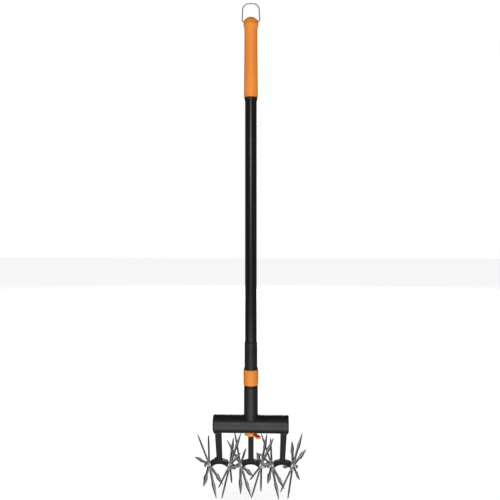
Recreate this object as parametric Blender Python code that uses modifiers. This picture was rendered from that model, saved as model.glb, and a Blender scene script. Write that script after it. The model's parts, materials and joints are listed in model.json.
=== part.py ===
"""Telescoping rotary cultivator: a long handle with a crossbar head on three arms, each with two star wheels.

Frame: +Z runs up the handle, X runs along the crossbar and the front of the tool faces -Y.
The origin is under the handle's axis, at the height of the lowest tine tip. Units are metres.
"""

import math

import bmesh
import bpy
from mathutils import Matrix, Vector

# Gap kept between two pieces that touch on the real tool
GAP = 0.0003

# Star wheels: flat stars on axles that droop outward and toe a little to the back
TINE_COUNT = 7
TINE_REACH = 0.0660
TINE_TWIST = math.radians(17)
STEM_HALF_WIDTH = 0.0028
LEAF_HALF_WIDTH = 0.0053
WHEEL_THICKNESS = 0.0028
HUB_PLATE_RADIUS = 0.0105
HUB_HEIGHT = 0.0624
HUB_OFFSET = 0.02125
DROOP = math.radians(20)
TOE = math.radians(11)

# Arms: the post of each outer arm leans out towards the crossbar
ARM_SPACING = 0.0640
OUTER_POST_LEAN = math.radians(2.6)
POST_WIDTH = 0.0106
OUTER_POST_HEAD_WIDTH = 0.0126
POST_DEPTH = 0.0150
POST_FOOT = 0.0690
CHANNEL_TOP = 0.1160
ARCH_DEPTH = 0.0140
ARCH_TOP = 0.0736
ARCH_UNDERSIDE = 0.0657
ARCH_TOP_RADIUS = 0.0400
ARCH_LOWER_RADIUS = 0.0225
ARCH_HALF_WIDTH = 0.0190
ARCH_FILLET = 0.0015

# Head
CROSSBAR_RADIUS = 0.0184
CROSSBAR_HEIGHT = 0.1462
CROSSBAR_LENGTH = 0.1540
END_CAP_RADIUS = 0.0135
END_CAP_THICKNESS = 0.0030
SOCKET_RADIUS = 0.0141
SOCKET_TOP = 0.2246
SOCKET_SCREW_HEIGHT = 0.1950
TENON_TOP = 0.1440
SEAT_BOTTOM = 0.1272
SEAT_END = 0.0747
SEAT_DEPTH = 0.0164
TUBE_BORE_BOTTOM = 0.1500

# Each outer arm is held by a screw through its tenon, placed from the arm's own centre
SCREW_Z = 0.1375
SCREW_X = math.tan(OUTER_POST_LEAN) * (SCREW_Z - POST_FOOT)
SCREW_HOLE_RADIUS = 0.0021
SCREW_RECESS_RADIUS = 0.0040

# Latch ring, under the crossbar round the centre post
LATCH_BOTTOM = 0.1236
LATCH_TOP = 0.1314
LATCH_RADIUS = 0.0122
LATCH_LIP_RADIUS = 0.0130
LATCH_LIP_BOTTOM = 0.1290
LATCH_LIP_TOP = 0.1304
LATCH_BORE = 0.0096
LUG_HEIGHT = 0.1255
LUG_THICKNESS = 0.0034
NECK_RADIUS = 0.0063

# Handle: the lower tube slides inside the upper tube
LOWER_TUBE_RADIUS = 0.0093
LOWER_TUBE_BOTTOM = 0.1505
LOWER_TUBE_TOP = 0.9000
UPPER_TUBE_RADIUS = 0.0119
UPPER_TUBE_BOTTOM = 0.3137
UPPER_TUBE_TOP = 0.9550
TUBE_WALL = 0.0012
SLIDING_BORE = 0.00965
COLLAR_RADIUS = 0.0153
COLLAR_BOTTOM = 0.2258
COLLAR_TOP = 0.2575
SLEEVE_RADIUS = 0.0129
SLEEVE_TOP = 0.3310
GRIP_BOTTOM = 0.8115
GRIP_PARTING = 0.9600
GRIP_BORE = 0.0122
GRIP_TOP = 0.9756
LOOP_PIVOT_HEIGHT = 0.9667
LOOP_WIRE_RADIUS = 0.00115
LOOP_TOP = 1.0030
LOOP_HALF_WIDTH = 0.0178

# Small parts of an axle set, as distances outward from the wheel's mid plane
AXLE_RADIUS = 0.0023
AXLE_BORE = 0.00270
AXLE_INNER_END = -0.0110
AXLE_OUTER_END = 0.0095
BOSS_FACE = -0.0046
BOSS_RADIUS = 0.0052
BOSS_ROOT = -0.0090
SPACER_RADIUS = 0.0038
WASHER_RADIUS = 0.0047
HUB_SLEEVE_RADIUS = 0.0048
HUB_SLEEVE_END = 0.0050

ROUND = 24
SMALL_ROUND = 12

# name, crossbar side of the arm, side of the wheel on its arm, turn of the first tine from upright
WHEELS = (
    ("left_outer", -1, -1, math.radians(6.5)),
    ("left_inner", -1, 1, math.radians(-1.5)),
    ("centre_left", 0, -1, math.radians(24.0)),
    ("centre_right", 0, 1, math.radians(16.0)),
    ("right_inner", 1, -1, math.radians(-1.5)),
    ("right_outer", 1, 1, math.radians(-9.5)),
)


def clear_scene():
    for obj in list(bpy.data.objects):
        bpy.data.objects.remove(obj, do_unlink=True)


def new_collection(name, hidden=False):
    collection = bpy.data.collections.new(name)
    collection.hide_render = hidden
    bpy.context.scene.collection.children.link(collection)
    return collection


clear_scene()
PARTS = new_collection("rotary_cultivator")
CUTTERS = new_collection("cutters", hidden=True)


# ---------------------------------------------------------------- materials


def material(name, color, roughness, metallic=0.0):
    made = bpy.data.materials.new(name)
    made.use_nodes = True
    shader = made.node_tree.nodes["Principled BSDF"]
    shader.inputs["Base Color"].default_value = (*color, 1.0)
    shader.inputs["Roughness"].default_value = roughness
    shader.inputs["Metallic"].default_value = metallic
    return made


ORANGE = material("orange_plastic", (0.80, 0.27, 0.045), 0.45)
BLACK_PLASTIC = material("black_plastic", (0.022, 0.021, 0.022), 0.5)
BLACK_TUBE = material("black_painted_tube", (0.015, 0.014, 0.014), 0.35, 0.2)
BARE_TUBE = material("bare_aluminium_tube", (0.62, 0.62, 0.64), 0.3, 1.0)
ZINC = material("zinc_plated_steel", (0.42, 0.41, 0.40), 0.35, 1.0)
STEEL_WIRE = material("steel_wire", (0.50, 0.50, 0.52), 0.3, 1.0)


# ------------------------------------------------------------------ helpers


def add_object(name, mesh, paint, collection=PARTS):
    obj = bpy.data.objects.new(name, mesh)
    collection.objects.link(obj)
    if paint is not None:
        mesh.materials.append(paint)
    return obj


def as_cutter(obj):
    """Moves a helper out of the model: it only adds to or cuts from another piece."""
    for collection in list(obj.users_collection):
        collection.objects.unlink(obj)
    CUTTERS.objects.link(obj)
    obj.hide_render = True
    obj.display_type = "WIRE"
    return obj


def turned(name, profile, paint, segments=ROUND):
    """A solid of revolution about Z. The profile is (radius, height) down the outer side.

    A profile that starts and ends on the axis is open, and any other closes on itself.
    """
    on_axis = profile[0][0] == 0 and profile[-1][0] == 0
    mesh = bpy.data.meshes.new(name)
    count = len(profile)
    edges = [(i, i + 1) for i in range(count - 1)]
    if not on_axis:
        edges.append((count - 1, 0))
    mesh.from_pydata([(r, 0.0, z) for r, z in profile], edges, [])
    obj = add_object(name, mesh, paint)
    screw = obj.modifiers.new("turn", "SCREW")
    screw.axis = "Z"
    screw.angle = math.tau
    screw.steps = segments
    screw.render_steps = segments
    screw.use_merge_vertices = True
    screw.merge_threshold = 0.00001
    screw.use_smooth_shade = True
    return obj


def ring(name, outer, inner, low, high, paint, segments=ROUND):
    """A plain ring or tube."""
    profile = [(outer, high), (outer, low), (inner, low), (inner, high)]
    return turned(name, profile, paint, segments)


def finish_mesh(name, build, paint):
    """Makes an object from a bmesh filled by build(bm)."""
    mesh = bpy.data.meshes.new(name)
    bm = bmesh.new()
    build(bm)
    bmesh.ops.recalc_face_normals(bm, faces=bm.faces)
    bm.to_mesh(mesh)
    bm.free()
    return add_object(name, mesh, paint)


def rod(name, start, end, radius, paint=None, segments=SMALL_ROUND):
    """A cylinder between two points."""
    start, end = Vector(start), Vector(end)
    span = end - start
    turn = span.to_track_quat("Z", "Y").to_matrix().to_4x4()
    place = Matrix.Translation((start + end) / 2) @ turn

    def build(bm):
        bmesh.ops.create_cone(
            bm,
            cap_ends=True,
            segments=segments,
            radius1=radius,
            radius2=radius,
            depth=span.length,
        )

    obj = finish_mesh(name, build, paint)
    obj.matrix_world = place
    return obj


def box(name, low, high, paint=None):
    """A box between two corners."""
    low, high = Vector(low), Vector(high)

    def build(bm):
        bmesh.ops.create_cube(bm, size=1.0)
        bmesh.ops.scale(bm, vec=high - low, verts=bm.verts)
        bmesh.ops.translate(bm, vec=(low + high) / 2, verts=bm.verts)

    return finish_mesh(name, build, paint)


def bevel(obj, width, segments=1):
    made = obj.modifiers.new("bevel", "BEVEL")
    made.width = width
    made.segments = segments
    made.limit_method = "ANGLE"
    made.angle_limit = math.radians(40)
    return obj


def baked(obj):
    """Replaces an object's mesh or curve by its evaluated mesh, with modifiers applied."""
    graph = bpy.context.evaluated_depsgraph_get()
    graph.update()
    mesh = bpy.data.meshes.new_from_object(obj.evaluated_get(graph))
    bm = bmesh.new()
    bm.from_mesh(mesh)
    bmesh.ops.remove_doubles(bm, verts=bm.verts, dist=0.000002)
    bmesh.ops.recalc_face_normals(bm, faces=bm.faces)
    bm.to_mesh(mesh)
    bm.free()
    made = bpy.data.objects.new(obj.name, mesh)
    for collection in obj.users_collection:
        collection.objects.link(made)
    made.matrix_world = obj.matrix_world.copy()
    name = obj.name
    bpy.data.objects.remove(obj, do_unlink=True)
    made.name = name
    return made


def plate(name, outline, thickness, paint=None):
    """A flat outline in the local XY plane, half its thickness to each side."""
    curve = bpy.data.curves.new(name, "CURVE")
    curve.dimensions = "2D"
    curve.fill_mode = "BOTH"
    curve.extrude = thickness / 2
    spline = curve.splines.new("POLY")
    spline.points.add(len(outline) - 1)
    for point, (x, y) in zip(spline.points, outline):
        point.co = (x, y, 0.0, 1.0)
    spline.use_cyclic_u = True
    obj = bpy.data.objects.new(name, curve)
    PARTS.objects.link(obj)
    if paint is not None:
        curve.materials.append(paint)
    return baked(obj)


def boolean(obj, other, operation):
    made = obj.modifiers.new(other.name, "BOOLEAN")
    made.operation = operation
    made.object = as_cutter(other)
    return obj


def cut(obj, *others):
    for other in others:
        boolean(obj, other, "DIFFERENCE")
    return obj


def join(obj, *others):
    for other in others:
        boolean(obj, other, "UNION")
    return obj


def arc(centre, radius, start, end, steps):
    """Points along an arc, with both ends. Angles are in radians from +X."""
    return [
        (
            centre[0] + radius * math.cos(start + (end - start) * i / steps),
            centre[1] + radius * math.sin(start + (end - start) * i / steps),
        )
        for i in range(steps + 1)
    ]


def smooth(obj, angle=math.radians(35)):
    obj.data.shade_smooth()
    obj.data.set_sharp_from_angle(angle=angle)
    return obj


# --------------------------------------------------------------- axle frames


def outward(side):
    """Direction of an axle, from the arch out to its cap."""
    flat = math.cos(DROOP)
    return Vector((side * flat * math.cos(TOE), flat * math.sin(TOE), -math.sin(DROOP)))


def axle_frame(arm_side, wheel_side, turn=0.0):
    """Frame at a hub's centre: local Z outward along the axle, local X along the first tine."""
    axis = outward(wheel_side)
    upright = (Vector((0, 0, 1)) - axis * axis.z).normalized()
    front = axis.cross(upright) * wheel_side
    along = upright * math.cos(turn) + front * math.sin(turn)
    basis = Matrix((along, axis.cross(along), axis)).transposed().to_4x4()
    hub = Vector((arm_side * ARM_SPACING + wheel_side * HUB_OFFSET, 0, HUB_HEIGHT))
    return Matrix.Translation(hub) @ basis


# -------------------------------------------------------------- star wheels


def tine_corners(turn):
    """The corners of a tine at each station: a stem that twists as it leaves the hub, a leaf and a point."""
    thick = WHEEL_THICKNESS / 2
    stations = (
        (math.sqrt(HUB_PLATE_RADIUS**2 - STEM_HALF_WIDTH**2), STEM_HALF_WIDTH, 0.0),
        (0.25 * TINE_REACH, STEM_HALF_WIDTH, TINE_TWIST),
        (0.48 * TINE_REACH, STEM_HALF_WIDTH, TINE_TWIST),
        (0.55 * TINE_REACH, 0.0040, TINE_TWIST),
        (0.62 * TINE_REACH, LEAF_HALF_WIDTH, TINE_TWIST),
        (TINE_REACH, 0.0006, TINE_TWIST),
    )
    rings = []
    for along, half, twist in stations:
        corners = []
        for across, up in ((-half, thick), (half, thick), (half, -thick), (-half, -thick)):
            beside = across * math.cos(twist) - up * math.sin(twist)
            above = across * math.sin(twist) + up * math.cos(twist)
            x = along * math.cos(turn) - beside * math.sin(turn)
            y = along * math.sin(turn) + beside * math.cos(turn)
            corners.append((x, y, above))
        rings.append(corners)
    return rings


def star_plate():
    """The hub plate and its seven twisted tines as one closed mesh."""
    points, faces, roots = [], [], []
    for tine in range(TINE_COUNT):
        start = len(points)
        rings = tine_corners(math.tau * tine / TINE_COUNT)
        points += [corner for corners in rings for corner in corners]
        roots.append(start)
        for k in range(len(rings) - 1):
            low = start + 4 * k
            for edge in range(4):
                after = (edge + 1) % 4
                faces.append((low + edge, low + after, low + 4 + after, low + 4 + edge))
        end = start + 4 * (len(rings) - 1)
        faces.append((end, end + 1, end + 2, end + 3))
    faces.append([root + corner for root in roots for corner in (0, 1)])
    faces.append([root + corner for root in reversed(roots) for corner in (2, 3)])
    for here, there in zip(roots, roots[1:] + roots[:1]):
        faces.append((here + 1, here + 2, there + 3, there))
    mesh = bpy.data.meshes.new("star_wheel")
    mesh.from_pydata(points, [], faces)
    bm = bmesh.new()
    bm.from_mesh(mesh)
    bmesh.ops.recalc_face_normals(bm, faces=bm.faces)
    bmesh.ops.triangulate(bm, faces=bm.faces)
    bm.to_mesh(mesh)
    bm.free()
    return add_object("star_wheel", mesh, ZINC)


def star_wheels():
    star = star_plate()
    inside = -WHEEL_THICKNESS / 2 + 0.00005
    sleeve = rod("hub_sleeve", (0, 0, inside), (0, 0, HUB_SLEEVE_END), HUB_SLEEVE_RADIUS, segments=16)
    bore = rod("hub_bore", (0, 0, -0.004), (0, 0, 0.008), AXLE_BORE)
    join(star, sleeve)
    cut(star, bore)
    mesh = baked(star).data
    mesh.materials.clear()
    mesh.materials.append(ZINC)
    bpy.data.objects.remove(bpy.data.objects["star_wheel"], do_unlink=True)
    for name, arm_side, wheel_side, turn in WHEELS:
        wheel = bpy.data.objects.new("star_wheel_" + name, mesh)
        PARTS.objects.link(wheel)
        wheel.matrix_world = axle_frame(arm_side, wheel_side, turn)


def axle_sets():
    """The pin, inner spacer, outer washer and push-on cap of each wheel."""
    for name, arm_side, wheel_side, _ in WHEELS:
        frame = axle_frame(arm_side, wheel_side)
        axle = rod("axle_" + name, (0, 0, AXLE_INNER_END), (0, 0, AXLE_OUTER_END), AXLE_RADIUS, ZINC)
        axle.matrix_world = frame @ axle.matrix_world
        smooth(axle)
        spacer_ends = BOSS_FACE + GAP, -WHEEL_THICKNESS / 2 - GAP
        spacer = ring("spacer_" + name, SPACER_RADIUS, AXLE_BORE, *spacer_ends, ZINC, SMALL_ROUND)
        washer_ends = HUB_SLEEVE_END + GAP, HUB_SLEEVE_END + GAP + 0.0010
        washer = ring("washer_" + name, WASHER_RADIUS, AXLE_BORE, *washer_ends, ZINC, SMALL_ROUND)
        cap_profile = [
            (0, AXLE_OUTER_END + 0.0010),
            (0.0025, AXLE_OUTER_END + 0.0008),
            (0.0033, AXLE_OUTER_END + 0.0001),
            (0.0035, AXLE_OUTER_END - 0.0008),
            (0.0035, AXLE_OUTER_END - 0.0029),
            (AXLE_BORE, AXLE_OUTER_END - 0.0029),
            (AXLE_BORE, AXLE_OUTER_END + 0.0003),
            (0, AXLE_OUTER_END + 0.0003),
        ]
        cap = turned("axle_cap_" + name, cap_profile, BLACK_PLASTIC, SMALL_ROUND)
        for piece in (spacer, washer, cap):
            piece.matrix_world = frame


# --------------------------------------------------------------------- arms


def upright_plate(name, outline, depth, y=0.0):
    """A plate whose outline is given as (x, z), standing in the XZ plane."""
    made = plate(name, outline, depth)
    made.matrix_world = Matrix.Translation((0, y, 0)) @ Matrix.Rotation(math.pi / 2, 4, "X")
    return made


def arch_outline():
    """Both rims of the arch, with a fillet up each side of the post."""
    fillet = ARCH_FILLET
    reach = math.asin(ARCH_HALF_WIDTH / ARCH_TOP_RADIUS)
    under = math.asin(ARCH_HALF_WIDTH / ARCH_LOWER_RADIUS)
    top_centre = (0, ARCH_TOP - ARCH_TOP_RADIUS)
    low_centre = (0, ARCH_UNDERSIDE - ARCH_LOWER_RADIUS)
    half = POST_WIDTH / 2 - 0.0004
    foot = math.asin((half + fillet) / (ARCH_TOP_RADIUS + fillet))
    rise = (ARCH_TOP_RADIUS + fillet) * math.cos(foot)
    corner = (half + fillet, top_centre[1] + rise)
    up = math.pi / 2
    right = arc(top_centre, ARCH_TOP_RADIUS, up - reach, up - foot, 4)
    right += arc(corner, fillet, 1.5 * math.pi - foot, math.pi, 4)
    left = [(-x, z) for x, z in reversed(right)]
    lower = arc(low_centre, ARCH_LOWER_RADIUS, up + under, up - under, 10)
    return right + left + lower


def arch_recess(name, side, near, far, face):
    """A shallow pocket in the arch's front or back, between two of its radial ribs."""
    rim = 0.0018
    low_centre = ARCH_UNDERSIDE - ARCH_LOWER_RADIUS
    top_centre = ARCH_TOP - ARCH_TOP_RADIUS
    low = ARCH_LOWER_RADIUS + rim
    high = ARCH_TOP_RADIUS - rim
    steps = [near, (near + far) / 2, far]
    under = [(side * x, low_centre + math.sqrt(low**2 - x**2)) for x in steps]
    over = [(side * x, top_centre + math.sqrt(high**2 - x**2)) for x in reversed(steps)]
    return upright_plate(name, under + over, 0.0040, face * ARCH_DEPTH / 2)


def post(name, lean):
    """The upright bar of an arm, channelled on both sides, with its tenon. An outer arm's widens upward."""
    foot = POST_WIDTH / 2
    head = OUTER_POST_HEAD_WIDTH / 2 if lean else foot
    shoulder = SEAT_BOTTOM - 2 * GAP if lean else SEAT_BOTTOM
    outline = [(-foot, POST_FOOT), (foot, POST_FOOT), (head, shoulder), (-head, shoulder)]
    made = bevel(upright_plate(name, outline, POST_DEPTH), 0.0012, 2)
    low = (-foot, -POST_DEPTH / 2, shoulder - 0.004)
    high = (foot, POST_DEPTH / 2, TENON_TOP)
    tenon = bevel(box(name + "_tenon", low, high), 0.0010)
    join(made, tenon)
    tilt = Matrix.Translation((0, 0, POST_FOOT)) @ Matrix.Rotation(lean, 4, "Y")
    tilt = tilt @ Matrix.Translation((0, 0, -POST_FOOT))
    helpers = [tenon]
    for side in (-1, 1):
        low = (side * foot - 0.0025, -0.0045, POST_FOOT + 0.0100)
        high = (side * foot + 0.0060, 0.0045, CHANNEL_TOP)
        if side < 0:
            low, high = (-foot - 0.0060, low[1], low[2]), (-foot + 0.0025, high[1], high[2])
        channel = bevel(box(name + "_channel", low, high), 0.0010)
        cut(made, channel)
        helpers.append(channel)
    for piece in [made] + helpers:
        piece.matrix_world = tilt @ piece.matrix_world
    return made


def arm(name, side):
    lean = side * OUTER_POST_LEAN
    made = upright_plate(name + "_arm", arch_outline(), ARCH_DEPTH)
    join(made, baked(post(name + "_post", lean)))
    for wheel_side in (-1, 1):
        frame = axle_frame(0, wheel_side)
        boss = rod(name + "_boss", (0, 0, BOSS_ROOT), (0, 0, BOSS_FACE), BOSS_RADIUS, segments=16)
        boss.matrix_world = frame @ boss.matrix_world
        join(made, boss)
        beyond = box(name + "_end_plane", (-0.03, -0.03, BOSS_FACE + 0.0002), (0.03, 0.03, 0.03))
        beyond.matrix_world = frame @ beyond.matrix_world
        cut(made, beyond)
    for wheel_side in (-1, 1):
        for face in (-1, 1):
            cut(made, arch_recess(name + "_recess", wheel_side, 0.0064, 0.0095, face))
            cut(made, arch_recess(name + "_recess", wheel_side, 0.0110, 0.0140, face))
        frame = axle_frame(0, wheel_side)
        hole = rod(name + "_hole", (0, 0, AXLE_INNER_END - 0.0006), (0, 0, 0.002), AXLE_BORE)
        hole.matrix_world = frame @ hole.matrix_world
        cut(made, hole)
    if side == 0:
        reach = LUG_THICKNESS / 2 + 0.0004
        top, bottom = LUG_HEIGHT + reach, LUG_HEIGHT - reach
        neck = [(0.0130, top), (0.0130, bottom), (NECK_RADIUS, bottom), (NECK_RADIUS, top)]
        cut(made, turned(name + "_latch_groove", neck, None, 24))
    else:
        x = side * SCREW_X
        hole = (x, 0.0025, SCREW_Z), (x, 0.02, SCREW_Z)
        cut(made, rod(name + "_screw_hole", *hole, SCREW_HOLE_RADIUS))
    made = baked(made)
    made.data.materials.clear()
    made.data.materials.append(BLACK_PLASTIC)
    made.matrix_world = Matrix.Translation((side * ARM_SPACING, 0, 0)) @ made.matrix_world
    return smooth(made)


# --------------------------------------------------------------------- head


def crossbar_housing():
    """The crossbar with the handle socket, bored and pocketed for what it holds."""
    half = CROSSBAR_LENGTH / 2
    bar_profile = [
        (0, half),
        (CROSSBAR_RADIUS - 0.0028, half),
        (CROSSBAR_RADIUS - 0.0008, half - 0.0008),
        (CROSSBAR_RADIUS, half - 0.0028),
        (CROSSBAR_RADIUS, -half + 0.0028),
        (CROSSBAR_RADIUS - 0.0008, -half + 0.0008),
        (CROSSBAR_RADIUS - 0.0028, -half),
        (0, -half),
    ]
    housing = turned("crossbar_housing", bar_profile, BLACK_PLASTIC, ROUND)
    lying = Matrix.Translation((0, 0, CROSSBAR_HEIGHT)) @ Matrix.Rotation(math.pi / 2, 4, "Y")
    housing.matrix_world = lying
    socket_profile = [
        (0, SOCKET_TOP),
        (SOCKET_RADIUS - 0.0010, SOCKET_TOP),
        (SOCKET_RADIUS - 0.0004, SOCKET_TOP - 0.0006),
        (SOCKET_RADIUS - 0.0004, SOCKET_TOP - 0.0022),
        (SOCKET_RADIUS - 0.0012, SOCKET_TOP - 0.0026),
        (SOCKET_RADIUS - 0.0012, SOCKET_TOP - 0.0036),
        (SOCKET_RADIUS, SOCKET_TOP - 0.0042),
        (SOCKET_RADIUS, 0.1668),
        (SOCKET_RADIUS + 0.0004, 0.1652),
        (SOCKET_RADIUS + 0.0014, 0.1638),
        (SOCKET_RADIUS + 0.0014, CROSSBAR_HEIGHT),
        (0, CROSSBAR_HEIGHT),
    ]
    join(housing, turned("socket", socket_profile, None))
    for side in (-1, 1):
        seat_inner = ARM_SPACING + SCREW_X - OUTER_POST_HEAD_WIDTH / 2 - 0.0010
        near, far = sorted((side * seat_inner, side * SEAT_END))
        seat = box("arm_seat", (near, -SEAT_DEPTH / 2, SEAT_BOTTOM), (far, SEAT_DEPTH / 2, 0.137))
        join(housing, bevel(seat, 0.0010))
    bore_ends = (0, 0, TUBE_BORE_BOTTOM), (0, 0, SOCKET_TOP + 0.01)
    cut(housing, rod("tube_bore", *bore_ends, SLIDING_BORE, segments=ROUND))
    for side in (-1, 0, 1):
        pocket = box(
            "tenon_pocket",
            (-POST_WIDTH / 2 - 0.00035, -POST_DEPTH / 2 - 0.00035, 0.1200),
            (POST_WIDTH / 2 + 0.00035, POST_DEPTH / 2 + 0.00035, TENON_TOP + 0.0005),
        )
        tilt = Matrix.Translation((side * ARM_SPACING, 0, POST_FOOT))
        tilt = tilt @ Matrix.Rotation(side * OUTER_POST_LEAN, 4, "Y")
        pocket.matrix_world = tilt @ Matrix.Translation((0, 0, -POST_FOOT))
        cut(housing, pocket)
    wide, narrow = LATCH_LIP_RADIUS + GAP, LATCH_RADIUS + GAP
    latch_recess = [
        (0, LATCH_TOP + GAP),
        (narrow, LATCH_TOP + GAP),
        (narrow, LATCH_LIP_TOP + GAP),
        (wide, LATCH_LIP_TOP + GAP),
        (wide, LATCH_LIP_BOTTOM - GAP),
        (narrow, LATCH_LIP_BOTTOM - GAP),
        (narrow, 0.1180),
        (0, 0.1180),
    ]
    cut(housing, turned("latch_recess", latch_recess, None))
    for side in (-1, 1):
        floor = half - END_CAP_THICKNESS - GAP
        ends = (side * floor, 0, CROSSBAR_HEIGHT), (side * 0.09, 0, CROSSBAR_HEIGHT)
        cut(housing, rod("end_recess", *ends, END_CAP_RADIUS + 0.00035, segments=ROUND))
        x = side * (ARM_SPACING + SCREW_X)
        way = (x, 0.0050, SCREW_Z), (x, 0.03, SCREW_Z)
        recess = (x, 0.0126, SCREW_Z), (x, 0.03, SCREW_Z)
        cut(housing, rod("screw_way", *way, SCREW_HOLE_RADIUS))
        cut(housing, rod("screw_recess", *recess, SCREW_RECESS_RADIUS))
    way = (0, 0.0080, SOCKET_SCREW_HEIGHT), (0, 0.02, SOCKET_SCREW_HEIGHT)
    cut(housing, rod("socket_screw_way", *way, SCREW_HOLE_RADIUS))
    return housing


def head():
    crossbar_housing()
    for name, side in (("left", -1), ("right", 1)):
        outer = side * CROSSBAR_LENGTH / 2
        ends = (outer - side * END_CAP_THICKNESS, 0, CROSSBAR_HEIGHT), (outer, 0, CROSSBAR_HEIGHT)
        cap = rod("crossbar_end_cap_" + name, *ends, END_CAP_RADIUS, BLACK_PLASTIC, ROUND)
        smooth(bevel(cap, 0.0008))
        x = side * (ARM_SPACING + SCREW_X)
        back_screw("arm_screw_" + name, (x, 0, SCREW_Z), 0.0030, 0.0133)
    back_screw("socket_screw", (0, 0, SOCKET_SCREW_HEIGHT), 0.0060, SOCKET_RADIUS + GAP)


def back_screw(name, place, tip, head_face):
    """A pan head screw driven in from the back. Distances are along +Y from the given place."""
    profile = [
        (0, head_face + 0.0021),
        (0.0022, head_face + 0.0019),
        (0.0032, head_face + 0.0010),
        (0.0034, head_face),
        (0.0017, head_face),
        (0.0017, tip + 0.0010),
        (0.0009, tip),
        (0, tip),
    ]
    screw = turned(name, profile, ZINC, SMALL_ROUND)
    drive = box(name + "_slot", (-0.0036, -0.0004, head_face + 0.0011), (0.0036, 0.0004, head_face + 0.004))
    lie = Matrix.Translation(place) @ Matrix.Rotation(-math.pi / 2, 4, "X")
    screw.matrix_world = lie
    drive.matrix_world = lie
    cut(screw, drive)
    return screw


# -------------------------------------------------------------------- latch


def latch_ring():
    """A bayonet ring: two lugs sit in the centre post's groove until it is turned a quarter."""
    profile = [
        (LATCH_RADIUS, LATCH_TOP),
        (LATCH_RADIUS, LATCH_LIP_TOP),
        (LATCH_LIP_RADIUS, LATCH_LIP_TOP),
        (LATCH_LIP_RADIUS, LATCH_LIP_BOTTOM),
        (LATCH_RADIUS, LATCH_LIP_BOTTOM),
        (LATCH_RADIUS, LATCH_BOTTOM + 0.0005),
        (LATCH_RADIUS - 0.0005, LATCH_BOTTOM),
        (LATCH_BORE, LATCH_BOTTOM),
        (LATCH_BORE, LATCH_TOP),
    ]
    made = turned("latch_ring", profile, ORANGE)
    for side in (-1, 1):
        wide = math.radians(20)
        mid = side * math.pi / 2
        lug_outline = arc((0, 0), 0.0067, mid - wide, mid + wide, 4)
        lug_outline += arc((0, 0), 0.0104, mid + wide, mid - wide, 4)
        lug = plate("latch_lug", lug_outline, LUG_THICKNESS)
        lug.location.z = LUG_HEIGHT
        join(made, lug)
    swing = Matrix.Rotation(math.radians(-51), 4, "Z")
    tab = bevel(box("latch_tab", (0.0112, -0.0048, 0.1244), (0.0210, 0.0048, 0.1281)), 0.0008)
    tab.matrix_world = swing
    thumb = bevel(box("latch_thumb", (-0.0044, -0.0050, -0.0022), (0.0044, 0.0050, 0.0022)), 0.0012)
    dip = Matrix.Translation((0.0232, 0, 0.1251)) @ Matrix.Rotation(math.radians(14), 4, "Y")
    thumb.matrix_world = swing @ dip
    join(made, tab, thumb)
    return made


# ------------------------------------------------------------------- handle


def lower_tube_group():
    inner = LOWER_TUBE_RADIUS - TUBE_WALL
    tube = ring("lower_tube", LOWER_TUBE_RADIUS, inner, LOWER_TUBE_BOTTOM, LOWER_TUBE_TOP, BARE_TUBE)
    hole = (0, 0.0060, SOCKET_SCREW_HEIGHT), (0, 0.02, SOCKET_SCREW_HEIGHT)
    cut(tube, rod("tube_screw_hole", *hole, SCREW_HOLE_RADIUS))
    guide_profile = [
        (0, LOWER_TUBE_TOP + 0.0063),
        (0.0096, LOWER_TUBE_TOP + 0.0063),
        (0.0101, LOWER_TUBE_TOP + 0.0056),
        (0.0101, LOWER_TUBE_TOP + GAP),
        (inner - 0.00035, LOWER_TUBE_TOP + GAP),
        (inner - 0.00035, LOWER_TUBE_TOP - 0.0150),
        (0, LOWER_TUBE_TOP - 0.0150),
    ]
    turned("tube_guide", guide_profile, BLACK_PLASTIC)


def lock_group():
    """The twist lock at the bottom of the upper tube: sleeve, split collet and turning collar."""
    nose = 0.0122
    pocket = 0.0109
    spigot = 0.01015
    nose_end = COLLAR_BOTTOM + 0.0035
    pocket_top = nose_end + 0.0214
    rim = UPPER_TUBE_BOTTOM - GAP
    sleeve_profile = [
        (spigot, SLEEVE_TOP),
        (spigot, rim),
        (SLEEVE_RADIUS - 0.0006, rim),
        (SLEEVE_RADIUS, rim - 0.0010),
        (SLEEVE_RADIUS, COLLAR_TOP + 0.0051),
        (0.0136, COLLAR_TOP + 0.0037),
        (0.0142, COLLAR_TOP + 0.0021),
        (0.0142, COLLAR_TOP + GAP),
        (nose, COLLAR_TOP + GAP),
        (nose, nose_end),
        (pocket, nose_end),
        (pocket, pocket_top),
        (SLIDING_BORE, pocket_top),
        (SLIDING_BORE, SLEEVE_TOP),
    ]
    turned("lock_sleeve", sleeve_profile, BLACK_PLASTIC)
    collet_ends = nose_end + 0.0004, pocket_top - 0.0010
    collet = ring("lock_collet", 0.0106, 0.0096, *collet_ends, BLACK_PLASTIC)
    cut(collet, box("collet_slit", (-0.0012, -0.02, 0.22), (0.0012, 0, 0.26)))
    collar_profile = [
        (COLLAR_RADIUS - 0.0016, COLLAR_TOP),
        (COLLAR_RADIUS - 0.0005, COLLAR_TOP - 0.0005),
        (COLLAR_RADIUS, COLLAR_TOP - 0.0016),
        (COLLAR_RADIUS, COLLAR_BOTTOM + 0.0034),
        (COLLAR_RADIUS - 0.0006, COLLAR_BOTTOM + 0.0028),
        (COLLAR_RADIUS - 0.0006, COLLAR_BOTTOM + 0.0010),
        (COLLAR_RADIUS - 0.0016, COLLAR_BOTTOM),
        (SLIDING_BORE, COLLAR_BOTTOM),
        (SLIDING_BORE, COLLAR_BOTTOM + 0.0030),
        (nose + GAP, COLLAR_BOTTOM + 0.0030),
        (nose + GAP, COLLAR_TOP),
    ]
    turned("lock_collar", collar_profile, ORANGE)


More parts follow.
